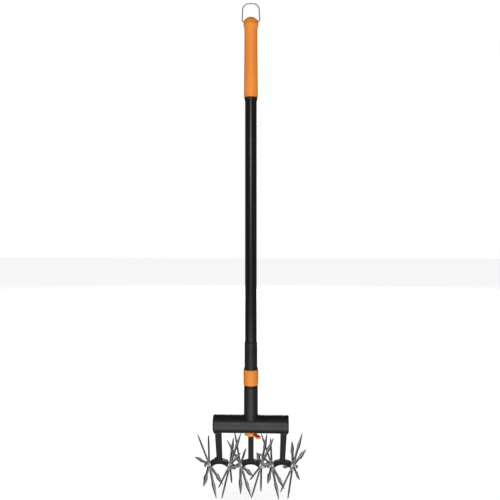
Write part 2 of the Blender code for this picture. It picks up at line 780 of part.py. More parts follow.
def grip_group():
    ring(
        "upper_tube",
        UPPER_TUBE_RADIUS,
        UPPER_TUBE_RADIUS - TUBE_WALL,
        UPPER_TUBE_BOTTOM,
        UPPER_TUBE_TOP,
        BLACK_TUBE,
    )
    ferrule_profile = [
        (0.0133, GRIP_BOTTOM - GAP),
        (0.0132, GRIP_BOTTOM - 0.0012),
        (0.0126, GRIP_BOTTOM - 0.0062),
        (GRIP_BORE, GRIP_BOTTOM - 0.0062),
        (GRIP_BORE, GRIP_BOTTOM - GAP),
    ]
    turned("grip_ferrule", ferrule_profile, BLACK_PLASTIC)
    grip_profile = [
        (0.0152, GRIP_PARTING),
        (0.0150, GRIP_PARTING - 0.0020),
        (0.0142, GRIP_PARTING - 0.0050),
        (0.0135, GRIP_PARTING - 0.0082),
        (0.0132, GRIP_PARTING - 0.0125),
        (0.0132, GRIP_PARTING - 0.0300),
        (0.0135, GRIP_BOTTOM + 0.0850),
        (0.0139, GRIP_BOTTOM + 0.0350),
        (0.0142, GRIP_BOTTOM + 0.0035),
        (0.0140, GRIP_BOTTOM + 0.0008),
        (0.0136, GRIP_BOTTOM),
        (GRIP_BORE, GRIP_BOTTOM),
        (GRIP_BORE, GRIP_PARTING),
    ]
    turned("grip", grip_profile, ORANGE)
    base = GRIP_PARTING + GAP
    dome_radius = 0.0154
    dome = [
        (dome_radius * math.cos(t), base + 0.0012 + (GRIP_TOP - base - 0.0012) * math.sin(t))
        for t in (math.pi / 2 * (1 - i / 8) for i in range(9))
    ]
    dome[0] = (0, GRIP_TOP)
    cap_profile = dome + [(0.0152, base), (0.01015, base), (0.01015, 0.9400), (0, 0.9400)]
    cap = turned("grip_end_cap", cap_profile, ORANGE)
    for side in (-1, 1):
        hole = (side * 0.0080, 0, LOOP_PIVOT_HEIGHT), (side * 0.0200, 0, LOOP_PIVOT_HEIGHT)
        cut(cap, rod("pivot_hole", *hole, LOOP_WIRE_RADIUS + 0.00035, segments=12))


def loop_path():
    """Centre line of the right half of the hanging loop, from its pivot end to the top."""
    bend = 0.0026
    corner = 0.0130
    foot = LOOP_PIVOT_HEIGHT
    path = [(0.0086, foot)]
    path += arc((LOOP_HALF_WIDTH - bend, foot + bend), bend, -math.pi / 2, 0, 4)
    top_x = LOOP_HALF_WIDTH - 0.0008
    path += arc((top_x - corner, LOOP_TOP - corner), corner, 0, math.pi / 2, 7)
    return path


def hang_loop():
    """A bent wire whose two ends turn in the end cap. Its origin is on the pivot axis."""
    half = loop_path()
    path = half + [(-x, z) for x, z in reversed(half)]
    curve = bpy.data.curves.new("hang_loop", "CURVE")
    curve.dimensions = "3D"
    curve.bevel_depth = LOOP_WIRE_RADIUS
    curve.bevel_resolution = 2
    curve.use_fill_caps = True
    spline = curve.splines.new("POLY")
    spline.points.add(len(path) - 1)
    for point, (x, z) in zip(spline.points, path):
        point.co = (x, 0.0, z - LOOP_PIVOT_HEIGHT, 1.0)
    curve.materials.append(STEEL_WIRE)
    obj = bpy.data.objects.new("hang_loop", curve)
    PARTS.objects.link(obj)
    obj.location.z = LOOP_PIVOT_HEIGHT
    bpy.context.view_layer.update()
    return smooth(baked(obj))


head()
for arm_name, arm_side in (("left", -1), ("centre", 0), ("right", 1)):
    arm(arm_name, arm_side)
axle_sets()
star_wheels()
latch_ring()
lower_tube_group()
lock_group()
grip_group()
hang_loop()
bpy.context.view_layer.update()
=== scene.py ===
"""The looks of the rotary cultivator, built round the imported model.

Shapes are worked out in millimetres and become metres when a piece is made. +Z runs up the handle, X along
the crossbar, and the front of the tool faces -Y. Moulded pieces are signed distance functions turned into
meshes, turned pieces are profiles swept round an axis, and the star wheels are lofted tine by tine.
"""

import json
import math

import bmesh
import bpy
import numpy as np
import openvdb
from mathutils import Matrix, Vector

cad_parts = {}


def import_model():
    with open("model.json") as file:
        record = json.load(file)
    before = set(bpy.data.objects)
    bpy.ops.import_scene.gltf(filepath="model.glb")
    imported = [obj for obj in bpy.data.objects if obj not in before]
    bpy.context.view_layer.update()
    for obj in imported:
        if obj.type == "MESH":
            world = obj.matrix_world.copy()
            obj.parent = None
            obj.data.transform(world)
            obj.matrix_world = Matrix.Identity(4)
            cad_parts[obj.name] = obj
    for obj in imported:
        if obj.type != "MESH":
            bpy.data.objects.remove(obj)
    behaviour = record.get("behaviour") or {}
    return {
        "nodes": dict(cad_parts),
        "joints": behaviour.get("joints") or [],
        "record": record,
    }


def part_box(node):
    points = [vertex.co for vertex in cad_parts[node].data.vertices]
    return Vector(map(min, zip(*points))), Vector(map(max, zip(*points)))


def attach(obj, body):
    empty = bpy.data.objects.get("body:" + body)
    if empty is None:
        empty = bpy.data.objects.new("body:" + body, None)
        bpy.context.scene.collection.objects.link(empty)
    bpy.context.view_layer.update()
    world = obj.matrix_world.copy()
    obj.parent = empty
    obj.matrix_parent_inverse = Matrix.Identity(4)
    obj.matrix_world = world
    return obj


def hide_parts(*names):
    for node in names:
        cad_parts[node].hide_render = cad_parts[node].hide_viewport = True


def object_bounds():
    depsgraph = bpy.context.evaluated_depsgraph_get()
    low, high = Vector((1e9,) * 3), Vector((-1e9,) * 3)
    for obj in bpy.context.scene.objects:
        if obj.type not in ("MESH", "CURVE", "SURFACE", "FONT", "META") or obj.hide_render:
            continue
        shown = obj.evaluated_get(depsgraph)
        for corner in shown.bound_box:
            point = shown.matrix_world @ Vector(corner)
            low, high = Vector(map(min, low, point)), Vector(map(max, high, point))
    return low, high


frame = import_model()
cad_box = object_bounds()

MM = 0.001
RECORD = frame["record"]
BODY_OF = {node: body for body, nodes in RECORD["behaviour"]["bodies"].items() for node in nodes}
JOINTS = {joint["name"]: joint for joint in frame["joints"]}
ARMS = {
    "left": ("left_outer", "left_inner"),
    "centre": ("centre_left", "centre_right"),
    "right": ("right_inner", "right_outer"),
}
WHEELS = [wheel for pair in ARMS.values() for wheel in pair]

# Sizes in millimetres that more than one function uses
TUBE_BORE = 12.2
GUIDE_RADIUS = 10.15
SLIDE_BORE = 9.65
AXLE_HOLE = 2.7
POST_LEAN = math.radians(2.6)
POST_FOOT = 69.0
TENON_TOP = 144.0
SCREW_HEIGHT = 137.5
SCREW_HOLE = 2.1
LUG_HEIGHT = 125.5
TINE_COUNT = 7
TINE_REACH = 66.0
TINE_TWIST = math.radians(17)
STEM_HALF = 2.8
LEAF_HALF = 5.3
TIP_HALF = 0.6
LEAF_START = 0.47 * TINE_REACH
LEAF_WIDEST = 0.63 * TINE_REACH


def low_high(node):
    """Lowest and highest corner of a CAD node, in millimetres."""
    low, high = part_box(node)
    return low / MM, high / MM


def middle(node):
    low, high = low_high(node)
    return (low + high) / 2


# ------------------------------------------------------------------- pieces


def closed_mesh(name, points, faces, normals=None):
    """A mesh in metres from points in millimetres, with its faces turned outward."""
    mesh = bpy.data.meshes.new(name)
    mesh.from_pydata([tuple(p) for p in np.asarray(points, float) * MM], [], faces)
    bm = bmesh.new()
    bm.from_mesh(mesh)
    if bm.calc_volume(signed=True) < 0:
        bmesh.ops.reverse_faces(bm, faces=bm.faces)
    bm.to_mesh(mesh)
    bm.free()
    mesh.shade_smooth()
    if normals is not None:
        mesh.normals_split_custom_set_from_vertices([tuple(n) for n in normals])
    return mesh


def stand_in(node, mesh, paint, place=None):
    """Shows a mesh in place of a CAD node: it rides on that node's body and takes the given paint as its one
    material.
    """
    made = mesh.copy()
    made.name = node
    own = made.attributes.new("own_place", "FLOAT_VECTOR", "POINT")
    own.data.foreach_set("vector", np.array([v.co for v in made.vertices], np.float32).ravel())
    made.materials.clear()
    made.materials.append(paint)
    if place is not None:
        made.transform(place)
    obj = bpy.data.objects.new("fine_" + node, made)
    bpy.context.scene.collection.objects.link(obj)
    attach(obj, BODY_OF[node])
    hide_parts(node)


def skin(sections, size):
    """Faces of a closed tube of quads through some sections of the same number of points."""
    faces = []
    for i in range(sections - 1):
        for k in range(size):
            n = (k + 1) % size
            faces.append((i * size + k, i * size + n, (i + 1) * size + n, (i + 1) * size + k))
    faces.append(tuple(range(size)))
    faces.append(tuple(range((sections - 1) * size, sections * size)))
    return faces


# ------------------------------------------------------------ turned pieces


def rounded(corners, step=12.0):
    """A profile whose corners, given as (radius, height, rounding), become arcs of that rounding."""
    count = len(corners)
    on_axis = corners[0][0] == 0 and corners[-1][0] == 0
    profile = []
    for i, (r, z, rounding) in enumerate(corners):
        here = Vector((r, z))
        end = on_axis and i in (0, count - 1)
        if end or rounding == 0:
            profile.append((r, z))
            continue
        before = Vector(corners[i - 1][:2]) - here
        after = Vector(corners[(i + 1) % count][:2]) - here
        angle = before.angle(after)
        if angle > math.radians(178):
            profile.append((r, z))
            continue
        back = min(rounding / math.tan(angle / 2), 0.49 * before.length, 0.49 * after.length)
        radius = back * math.tan(angle / 2)
        inward = (before.normalized() + after.normalized()).normalized()
        centre = here + inward * (radius / math.sin(angle / 2))
        start = here + before.normalized() * back - centre
        finish = here + after.normalized() * back - centre
        turn = start.angle_signed(finish)
        pieces = max(2, round(math.degrees(abs(turn)) / step))
        for k in range(pieces + 1):
            spoke = start.copy()
            spoke.rotate(Matrix.Rotation(-turn * k / pieces, 2))
            profile.append(tuple(centre + spoke))
    return profile


def curved(knots, step):
    """A smooth profile through knots (radius, height), with a point about every step along the height."""
    knots = np.array(knots, float)
    heights = knots[:, 1]
    slopes = np.gradient(knots[:, 0], heights)
    count = max(2, int(abs(heights[-1] - heights[0]) / step))
    made = []
    for z in np.linspace(heights[0], heights[-1], count + 1):
        i = min(np.sum((heights - z) * np.sign(heights[-1] - heights[0]) <= 0) - 1, len(knots) - 2)
        i = max(int(i), 0)
        span = heights[i + 1] - heights[i]
        t = (z - heights[i]) / span
        a, b = knots[i, 0], knots[i + 1, 0]
        ma, mb = slopes[i] * span, slopes[i + 1] * span
        r = (2 * t**3 - 3 * t**2 + 1) * a + (t**3 - 2 * t**2 + t) * ma
        r += (3 * t**2 - 2 * t**3) * b + (t**3 - t**2) * mb
        made.append((float(r), float(z)))
    return made


def turned(name, profile, segments=96, relief=None, crease=32):
    """A closed profile (radius, height) swept round Z. relief(radius, turn, height) gives the new radius."""
    on_axis = profile[0][0] == 0 and profile[-1][0] == 0
    turns = np.arange(segments) * math.tau / segments
    rows, points = [], []
    for r, z in profile:
        if r == 0:
            rows.append([len(points)] * segments)
            points.append((0, 0, z))
            continue
        rows.append(list(range(len(points), len(points) + segments)))
        radii = np.full(segments, r) if relief is None else relief(r, turns, z)
        points += [(q * math.cos(t), q * math.sin(t), z) for q, t in zip(radii, turns)]
    faces = []
    pairs = list(zip(rows, rows[1:]))
    if not on_axis:
        pairs.append((rows[-1], rows[0]))
    for upper, lower in pairs:
        for k in range(segments):
            n = (k + 1) % segments
            corners = [upper[k], upper[n], lower[n], lower[k]]
            face = [c for j, c in enumerate(corners) if c != corners[j - 1]]
            if len(face) > 2:
                faces.append(face)
    mesh = closed_mesh(name, points, faces)
    mesh.set_sharp_from_angle(angle=math.radians(crease))
    return mesh


def ring_profile(outer, inner, low, high, rounding):
    corners = [(outer, high), (outer, low), (inner, low), (inner, high)]
    return rounded([(r, z, rounding) for r, z in corners], step=22)


# ----------------------------------------------------------- moulded pieces


def fillet_union(a, b, radius):
    """Two shapes joined, with a round fillet where they meet."""
    near = np.hypot(np.maximum(radius - a, 0), np.maximum(radius - b, 0))
    return np.maximum(radius, np.minimum(a, b)) - near


def rounded_cut(a, b, radius):
    """Shape a without shape b, with the rim between them rounded."""
    near = np.hypot(np.maximum(radius + a, 0), np.maximum(radius - b, 0))
    return np.minimum(-radius, np.maximum(a, -b)) + near


def rounded_overlap(a, b, radius):
    """What shapes a and b share, with the edge between them rounded."""
    return rounded_cut(a, -b, radius)


def block(x, y, z, centre, half, rounding):
    """A box with rounded edges."""
    q = [np.abs(p - c) - (h - rounding) for p, c, h in zip((x, y, z), centre, half)]
    outside = np.sqrt(sum(np.maximum(part, 0) ** 2 for part in q))
    inside = np.minimum(np.maximum(np.maximum(q[0], q[1]), q[2]), 0)
    return outside + inside - rounding


def rod(x, y, z, start, end, radius, rounding):
    """A cylinder between two points with rounded rims."""
    start, end = np.array(start, float), np.array(end, float)
    length = np.linalg.norm(end - start)
    axis = (end - start) / length
    rel = (x - start[0], y - start[1], z - start[2])
    along = rel[0] * axis[0] + rel[1] * axis[1] + rel[2] * axis[2]
    square = rel[0] ** 2 + rel[1] ** 2 + rel[2] ** 2 - along**2
    q1 = np.sqrt(np.maximum(square, 0)) - (radius - rounding)
    q2 = np.abs(along - length / 2) - (length / 2 - rounding)
    inside = np.minimum(np.maximum(q1, q2), 0)
    return inside + np.hypot(np.maximum(q1, 0), np.maximum(q2, 0)) - rounding


def leaned(x, z, lean, foot):
    """Coordinates across and along a bar that leans by an angle about a point at a height on Z."""
    across = x * math.cos(lean) - (z - foot) * math.sin(lean)
    along = x * math.sin(lean) + (z - foot) * math.cos(lean) + foot
    return across, along


def steepest(shape, points):
    """Unit vectors out of a shape at some points."""
    reach = 0.02
    parts = []
    for axis in range(3):
        step = np.zeros(3)
        step[axis] = reach
        parts.append(shape(*(points + step).T) - shape(*(points - step).T))
    out = np.stack(parts, axis=1)
    return out / np.maximum(np.linalg.norm(out, axis=1, keepdims=True), 1e-9)


def moulded(name, shape, low, high, cell):
    """The surface of a signed distance function, on a grid and then pulled onto the exact surface."""
    axes = [np.arange(a - 2.5 * cell, b + 3 * cell, cell) for a, b in zip(low, high)]
    field = shape(*np.meshgrid(*axes, indexing="ij"))
    volume = openvdb.FloatGrid(10.0)
    volume.copyFromArray(field.astype(np.float32))
    points, triangles, quads = volume.convertToPolygons(0.0, 0.0)
    points = points.astype(float) * cell + [axis[0] for axis in axes]
    for _ in range(3):
        distance = np.clip(shape(*points.T), -cell / 2, cell / 2)
        points -= steepest(shape, points) * distance[:, None]
    faces = triangles.tolist() + quads.tolist()
    return closed_mesh(name, points, faces, steepest(shape, points))


# ---------------------------------------------------------------- materials


class Paint:
    """One procedural material, put together node by node in the piece's own coordinates."""

    def __init__(self, name):
        self.material = bpy.data.materials.new(name)
        self.material.use_nodes = True
        self.tree = self.material.node_tree
        self.shader = self.tree.nodes["Principled BSDF"]
        own = self.tree.nodes.new("ShaderNodeAttribute")
        own.attribute_name = "own_place"
        self.place = own.outputs["Vector"]

    def node(self, kind, settings=None, **inputs):
        """A new shader node. Inputs go by name, or by number as i0, i1 and so on."""
        made = self.tree.nodes.new("ShaderNode" + kind)
        for key, value in (settings or {}).items():
            setattr(made, key, value)
        for key, value in inputs.items():
            numbered = key[0] == "i" and key[1:].isdigit()
            self.feed(made.inputs[int(key[1:]) if numbered else key], value)
        return made

    def feed(self, socket, value):
        if isinstance(value, bpy.types.NodeSocket):
            self.tree.links.new(value, socket)
        else:
            socket.default_value = value

    def noise(self, scale, detail=3.0, stretch=None, rough=0.5, place=None):
        """Noise from 0 to 1. The scale is in waves per metre, and stretch slows it along each axis."""
        where = place or self.place
        if stretch:
            where = self.node("Mapping", Vector=where, Scale=stretch).outputs["Vector"]
        made = self.node("TexNoise", Vector=where, Scale=scale, Detail=detail, Roughness=rough)
        return made.outputs["Fac"]

    def maths(self, operation, a, b):
        return self.node("Math", {"operation": operation}, i0=a, i1=b).outputs[0]

    def mapped(self, value, low, high, start=0.0, end=1.0):
        """A value from start..end moved to low..high."""
        inputs = {"i0": value, "i1": start, "i2": end, "i3": low, "i4": high}
        return self.node("MapRange", {"clamp": True}, **inputs).outputs["Result"]

    def tint(self, factor, first, second):
        """A colour between two, by a factor from 0 to 1."""
        return self.over(factor, (*first, 1.0), second)

    def over(self, factor, below, colour):
        """A colour laid over another where the factor is 1."""
        inputs = {"i0": factor, "i6": below, "i7": (*colour, 1.0)}
        return self.node("Mix", {"data_type": "RGBA"}, **inputs).outputs[2]

    def total(self, a, b, weight=1.0):
        return self.maths("ADD", a, self.maths("MULTIPLY", b, weight))

    def edges(self, start, end):
        """0 on flat surfaces and 1 on outer edges."""
        sharpness = self.node("NewGeometry").outputs["Pointiness"]
        return self.mapped(sharpness, 0.0, 1.0, start, end)

    def set(self, **inputs):
        names = {"colour": "Base Color", "rough": "Roughness", "metal": "Metallic", "streak": "Anisotropic"}
        names.update(gloss="Specular IOR Level", soft="Subsurface Weight")
        for key, value in inputs.items():
            self.feed(self.shader.inputs[names[key]], value)

    def bump(self, height, distance, strength=1.0):
        bump = self.node("Bump", Height=height, Distance=distance, Strength=strength)
        self.tree.links.new(bump.outputs["Normal"], self.shader.inputs["Normal"])


def black_plastic(name, gloss, edge):
    """Glass-filled nylon: a fine matt grain, faint cloudy patches and pale edges, rubbed wear that a high
    edge value turns into a painted highlight.
    """
    paint = Paint(name)
    cloud = paint.noise(45, 4)
    grain = paint.noise(2200, 2, rough=0.7)
    base = paint.tint(cloud, (0.0070, 0.0067, 0.0071), (0.0125, 0.0120, 0.0127))
    # Pale edges: rubbed wear, and with a high edge value a painted highlight.
    pale_edged = paint.over(paint.edges(0.53, 0.60), base, (edge, edge * 0.98, edge))
    paint.set(colour=pale_edged, rough=paint.mapped(cloud, 0.38, 0.48, 0.3, 0.7), gloss=gloss)
    paint.bump(paint.total(grain, cloud, 0.6), 0.00006, 0.5)
    return paint.material


def black_tube():
    """Satin powder coat with a slight orange peel."""
    paint = Paint("black_powder_coat")
    peel = paint.noise(420, 2)
    fine = paint.noise(2600, 1)
    run = paint.noise(60, 3, stretch=(1, 1, 0.05))
    base = paint.tint(run, (0.0035, 0.0034, 0.0036), (0.0065, 0.0063, 0.0067))
    paint.set(colour=base, rough=paint.mapped(run, 0.28, 0.36, 0.3, 0.7), gloss=0.36)
    paint.bump(paint.total(peel, fine, 0.3), 0.00005, 0.35)
    return paint.material


def orange_plastic(name, rough, grain_depth, shade=1.0, painted_top_shade=False):
    """Satin moulded orange: cloudy colour, fine grain and a little light under it. The shade factor darkens
    the colour; upward faces may get painted shade.
    """
    paint = Paint(name)
    cloud = paint.noise(38, 4)
    grain = paint.noise(1900, 2, rough=0.65)
    deep = [c * shade for c in (0.72, 0.206, 0.017)]
    pale = [c * shade for c in (0.82, 0.262, 0.028)]
    base = paint.tint(cloud, deep, pale)
    pale_edged = paint.over(paint.edges(0.54, 0.62), base, (0.88, 0.35, 0.08))
    paint.set(colour=pale_edged, rough=paint.mapped(cloud, rough - 0.05, rough + 0.06, 0.3, 0.7), gloss=0.45)
    paint.set(soft=0.04)
    if painted_top_shade:
        # Painted shade: faces that point up turn dark red.
        facing = paint.node("SeparateXYZ", Vector=paint.node("NewGeometry").outputs["Normal"]).outputs[2]
        upward = paint.mapped(facing, 0.0, 1.0, 0.55, 0.95)
        paint.set(colour=paint.over(upward, pale_edged, (0.30, 0.035, 0.006)))
    paint.shader.inputs["Subsurface Radius"].default_value = (0.0012, 0.0005, 0.0002)
    paint.bump(paint.total(grain, cloud, 0.8), grain_depth, 0.6)
    return paint.material


def zinc_steel():
    """Zinc plate on pressed steel: streaks that run out along the tines, grey bloom, and painted shade that
    darkens each tine towards its edges.
    """
    paint = Paint("zinc_plated_steel")
    split = paint.node("SeparateXYZ", Vector=paint.place)
    turn = paint.maths("ARCTAN2", split.outputs[1], split.outputs[0])
    reach = paint.node("VectorMath", {"operation": "LENGTH"}, i0=paint.place).outputs["Value"]
    polar = paint.node("CombineXYZ", X=turn, Y=reach, Z=split.outputs[2]).outputs[0]
    streak = paint.noise(1.0, 3, stretch=(90, 60, 900), place=polar)
    bloom = paint.noise(110, 4, rough=0.6)
    pits = paint.noise(1500, 2)
    base = paint.tint(bloom, (0.40, 0.385, 0.38), (0.84, 0.825, 0.815))
    streaked = paint.over(paint.mapped(streak, 0.0, 0.7, 0.50, 0.68), base, (0.10, 0.092, 0.09))
    # Painted shade: each tine darkens from its middle out to its edges, past the hub.
    across = paint.maths("MULTIPLY", paint.maths("PINGPONG", turn, math.pi / TINE_COUNT), reach)
    swelling = paint.mapped(reach, STEM_HALF * MM, LEAF_HALF * MM, LEAF_START * MM, LEAF_WIDEST * MM)
    tapering = paint.mapped(reach, LEAF_HALF * MM, TIP_HALF * MM, LEAF_WIDEST * MM, TINE_REACH * MM)
    share = paint.maths("DIVIDE", across, paint.maths("MINIMUM", swelling, tapering))
    past_hub = paint.mapped(reach, 0.0, 1.0, 0.010, 0.013)
    painted_edge_shade = paint.maths("MULTIPLY", paint.mapped(share, 0.0, 0.92, 0.42, 0.80), past_hub)
    edge_shaded = paint.over(painted_edge_shade, streaked, (0.030, 0.027, 0.027))
    paint.set(colour=edge_shaded, metal=0.45, rough=paint.mapped(bloom, 0.42, 0.58, 0.3, 0.7))
    paint.bump(paint.total(streak, pits, 0.5), 0.00005, 0.5)
    return paint.material


def plain_metal(name, bloom_scale, marks, colours, rough, bump, metal=1.0, marked=False, streak=0.0):
    """Cloudy metal with fine marks, given as (scale, stretch). The marks may set the roughness too."""
    paint = Paint(name)
    bloom = paint.noise(bloom_scale, 3)
    lines = paint.noise(marks[0], 2, stretch=marks[1])
    paint.set(colour=paint.tint(bloom, *colours), metal=metal, streak=streak)
    paint.set(rough=paint.mapped(lines if marked else bloom, *rough, 0.3, 0.7))
    paint.bump(lines, *bump)
    return paint.material


BLACK = black_plastic("black_plastic_grain", 0.36, 0.05)
# Arms: the paler edges (0.09) are a painted highlight on the arch's ribs.
BLACK_ARM = black_plastic("black_plastic_matt", 0.10, 0.09)
# Sleeve: the pale edges (0.22) are a painted highlight on its top rim.
BLACK_SLEEVE = black_plastic("black_plastic_painted_rim_highlight", 0.36, 0.22)
TUBE_PAINT = black_tube()
ORANGE_CAP = orange_plastic("orange_moulded", 0.46, 0.00006, 0.90)
ORANGE_GRIP = orange_plastic("orange_soft_grip", 0.55, 0.00010)
# Collar and latch: the 0.78 darkening is painted shade, a shaded copy of the same orange.
ORANGE_COLLAR = orange_plastic("orange_collar", 0.46, 0.00006, 0.78)
# Latch: painted shade on its upward faces as well.
ORANGE_LATCH = orange_plastic("orange_painted_top_shade", 0.46, 0.00006, 0.78, painted_top_shade=True)
ZINC = zinc_steel()
TURNED_ZINC = ((0.66, 0.65, 0.63), (0.82, 0.81, 0.79))
PALE_PLATE = ((0.80, 0.80, 0.79), (0.90, 0.90, 0.89))
DRAWN_STEEL = ((0.22, 0.22, 0.225), (0.36, 0.36, 0.37))
DRAWN_ALUMINIUM = ((0.56, 0.56, 0.58), (0.70, 0.70, 0.72))
BRIGHT = plain_metal("bright_zinc", 400, (900, (0.1, 0.1, 4)), TURNED_ZINC, (0.20, 0.34), (0.00003, 0.4))
SPACER = plain_metal("pale_spacer", 500, (2000, None), PALE_PLATE, (0.3, 0.42), (0.00003, 0.4), 0.2)
WIRE = plain_metal(
    "drawn_wire", 260, (1400, (1, 1, 0.08)), DRAWN_STEEL, (0.36, 0.52), (0.00002, 0.5),
    metal=0.8, marked=True
)
ALUMINIUM = plain_metal(
    "drawn_aluminium", 70, (1800, (1, 1, 0.01)), DRAWN_ALUMINIUM, (0.26, 0.42), (0.00002, 0.5),
    marked=True, streak=0.4
)


# ------------------------------------------------------------ handle and grip


def grip():
    """Soft sleeve, slightly waisted, with a bulb at its top and finger marks low on its front and back."""
    low, high = low_high("grip")
    bottom, top = low.z, high.z
    first_mark, mark_pitch, mark_depth, mark_height = 8.0, 10.5, 0.32, 0.85
    mark_middle, mark_reach = 24, 13.5
    knots = [
        (15.20, top),
        (15.05, top - 1.8),
        (14.30, top - 4.8),
        (13.55, top - 8.2),
        (13.22, top - 12.5),
        (13.18, top - 28.0),
        (13.35, top - 55.0),
        (13.75, top - 100.0),
        (14.15, bottom + 6.0),
        (14.20, bottom + 3.2),
    ]
    outer = curved(knots, 0.45)
    rim = [(14.2, bottom + 4, 0), (14.2, bottom, 1.1)]
    bore = [(TUBE_BORE, bottom, 0.3), (TUBE_BORE, top, 0)]
    profile = outer + rounded(rim + bore)[1:]
    mark_rows = [bottom + first_mark + mark_pitch * i for i in range(6)]

    def marks(r, turns, z):
        """The radius with short dents beside the front and back, and a raised seam at each side."""
        if r < TUBE_BORE + 0.7:
            return np.full(len(turns), r)
        depth = sum(math.exp(-(((z - row) / mark_height) ** 4)) for row in mark_rows)
        off_front = np.abs(np.abs(np.abs(turns / math.pi - 1) - 0.5) * 180 - mark_middle)
        span = 1 / (1 + np.exp((off_front - mark_reach) / 0.9))
        seam = 0.10 * np.exp(-(((np.abs(np.sin(turns)) * r) / 0.35) ** 2))
        return r - mark_depth * depth * span + seam

    stand_in("grip", turned("grip", profile, 240, marks), ORANGE_GRIP)


def end_cap():
    """Domed cap with a groove at the parting line and a collar round each pivot hole."""
    low, high = low_high("grip_end_cap")
    pivot = JOINTS["loop_swing"]["pos_m"][2] / MM
    base = low_high("grip")[1].z + 0.3
    wall = 1.0
    rise = high.z - base - wall
    radius, scale = 15.4, 12.6
    boss_radius, hole_radius, hole_start = 2.7, 1.5, 8
    groove_height, groove_radius = 1.9, 0.85

    def shape(x, y, z):
        out = np.hypot(x, y)
        dome = (np.sqrt((out / radius) ** 2 + (np.maximum(z - base - wall, 0) / rise) ** 2) - 1) * scale
        cap = rounded_overlap(dome, base - z, 0.35)
        plug = rounded_overlap(out - GUIDE_RADIUS, np.maximum(low.z - z, z - base - wall), 0.6)
        made = np.minimum(cap, plug)
        groove = np.hypot(out - radius - 0.05, z - base - groove_height) - groove_radius
        made = rounded_cut(made, groove, 0.15)
        boss = rod(np.abs(x), y, z, (hole_start, 0, pivot), (15.3, 0, pivot), boss_radius, 0.6)
        made = fillet_union(made, boss, 0.9)
        hole = rod(np.abs(x), y, z, (hole_start, 0, pivot), (20, 0, pivot), hole_radius, 0.1)
        return rounded_cut(made, hole, 0.25)

    mesh = moulded("grip_end_cap", shape, (-15.6, -15.6, low.z), (15.6, 15.6, high.z), 0.3)
    stand_in("grip_end_cap", mesh, ORANGE_CAP)


def ferrule():
    """Short tapered ring that closes the grip's foot."""
    low, high = low_high("grip_ferrule")
    corners = [
        (13.30, high.z, 0.2),
        (13.20, high.z - 1.0, 0.4),
        (12.65, low.z + 0.3, 0.3),
        (12.60, low.z, 0.2),
        (TUBE_BORE, low.z, 0.0),
        (TUBE_BORE, high.z, 0.0),
    ]
    stand_in("grip_ferrule", turned("grip_ferrule", rounded(corners)), BLACK)


def upper_tube():
    """Outer tube: powder coated, with rounded rims."""
    low, high = low_high("upper_tube")
    profile = ring_profile(11.9, 10.7, low.z, high.z, 0.35)
    stand_in("upper_tube", turned("upper_tube", profile, 128), TUBE_PAINT)


def lower_tube():
    """Inner tube: bare, with rounded rims."""
    low, high = low_high("lower_tube")
    profile = ring_profile(9.3, 8.1, low.z, high.z, 0.3)
    stand_in("lower_tube", turned("lower_tube", profile, 96), ALUMINIUM)


def tube_guide():
    """Plug with two bearing bands on the inner tube's top."""
    low, high = low_high("tube_guide")
    corners = [
        (0.0, high.z, 0),
        (9.6, high.z, 0.8),
        (10.1, high.z - 0.8, 0.4),
        (10.1, high.z - 2.2, 0.3),
        (9.7, high.z - 2.4, 0.2),
        (9.7, high.z - 3.6, 0.2),
        (10.1, high.z - 3.8, 0.3),
        (10.1, high.z - 6.0, 0.3),
        (7.75, high.z - 6.0, 0.2),
        (7.75, low.z, 0.6),
        (0.0, low.z, 0),
    ]
    stand_in("tube_guide", turned("tube_guide", rounded(corners), 64), BLACK)


def lock_sleeve():
    """Sleeve that closes the upper tube: a rim at its top with a painted highlight, a shoulder above the
    collar.
    """
    low, high = low_high("lock_sleeve")
    collar_top = low_high("lock_collar")[1].z
    rim = low_high("upper_tube")[0].z - 0.3
    corners = [
        (GUIDE_RADIUS, high.z, 0.3),
        (GUIDE_RADIUS, rim, 0.1),
        (12.40, rim, 0.35),
        (12.90, rim - 0.9, 0.5),
        (12.90, rim - 5.0, 0.2),
        (12.65, rim - 5.3, 0.2),
        (12.65, rim - 6.3, 0.2),
        (12.90, rim - 6.6, 0.2),
        (12.90, collar_top + 5.5, 3.0),
        (14.15, collar_top + 2.3, 0.5),
        (14.20, collar_top + 0.3, 0.2),
        (TUBE_BORE, collar_top + 0.3, 0.1),
        (TUBE_BORE, low.z, 0.3),
        (10.90, low.z, 0.2),
        (10.90, low.z + 21.4, 0.2),
        (SLIDE_BORE, low.z + 21.4, 0.2),
        (SLIDE_BORE, high.z, 0.2),
    ]
    stand_in("lock_sleeve", turned("lock_sleeve", rounded(corners, 15), 128), BLACK_SLEEVE)


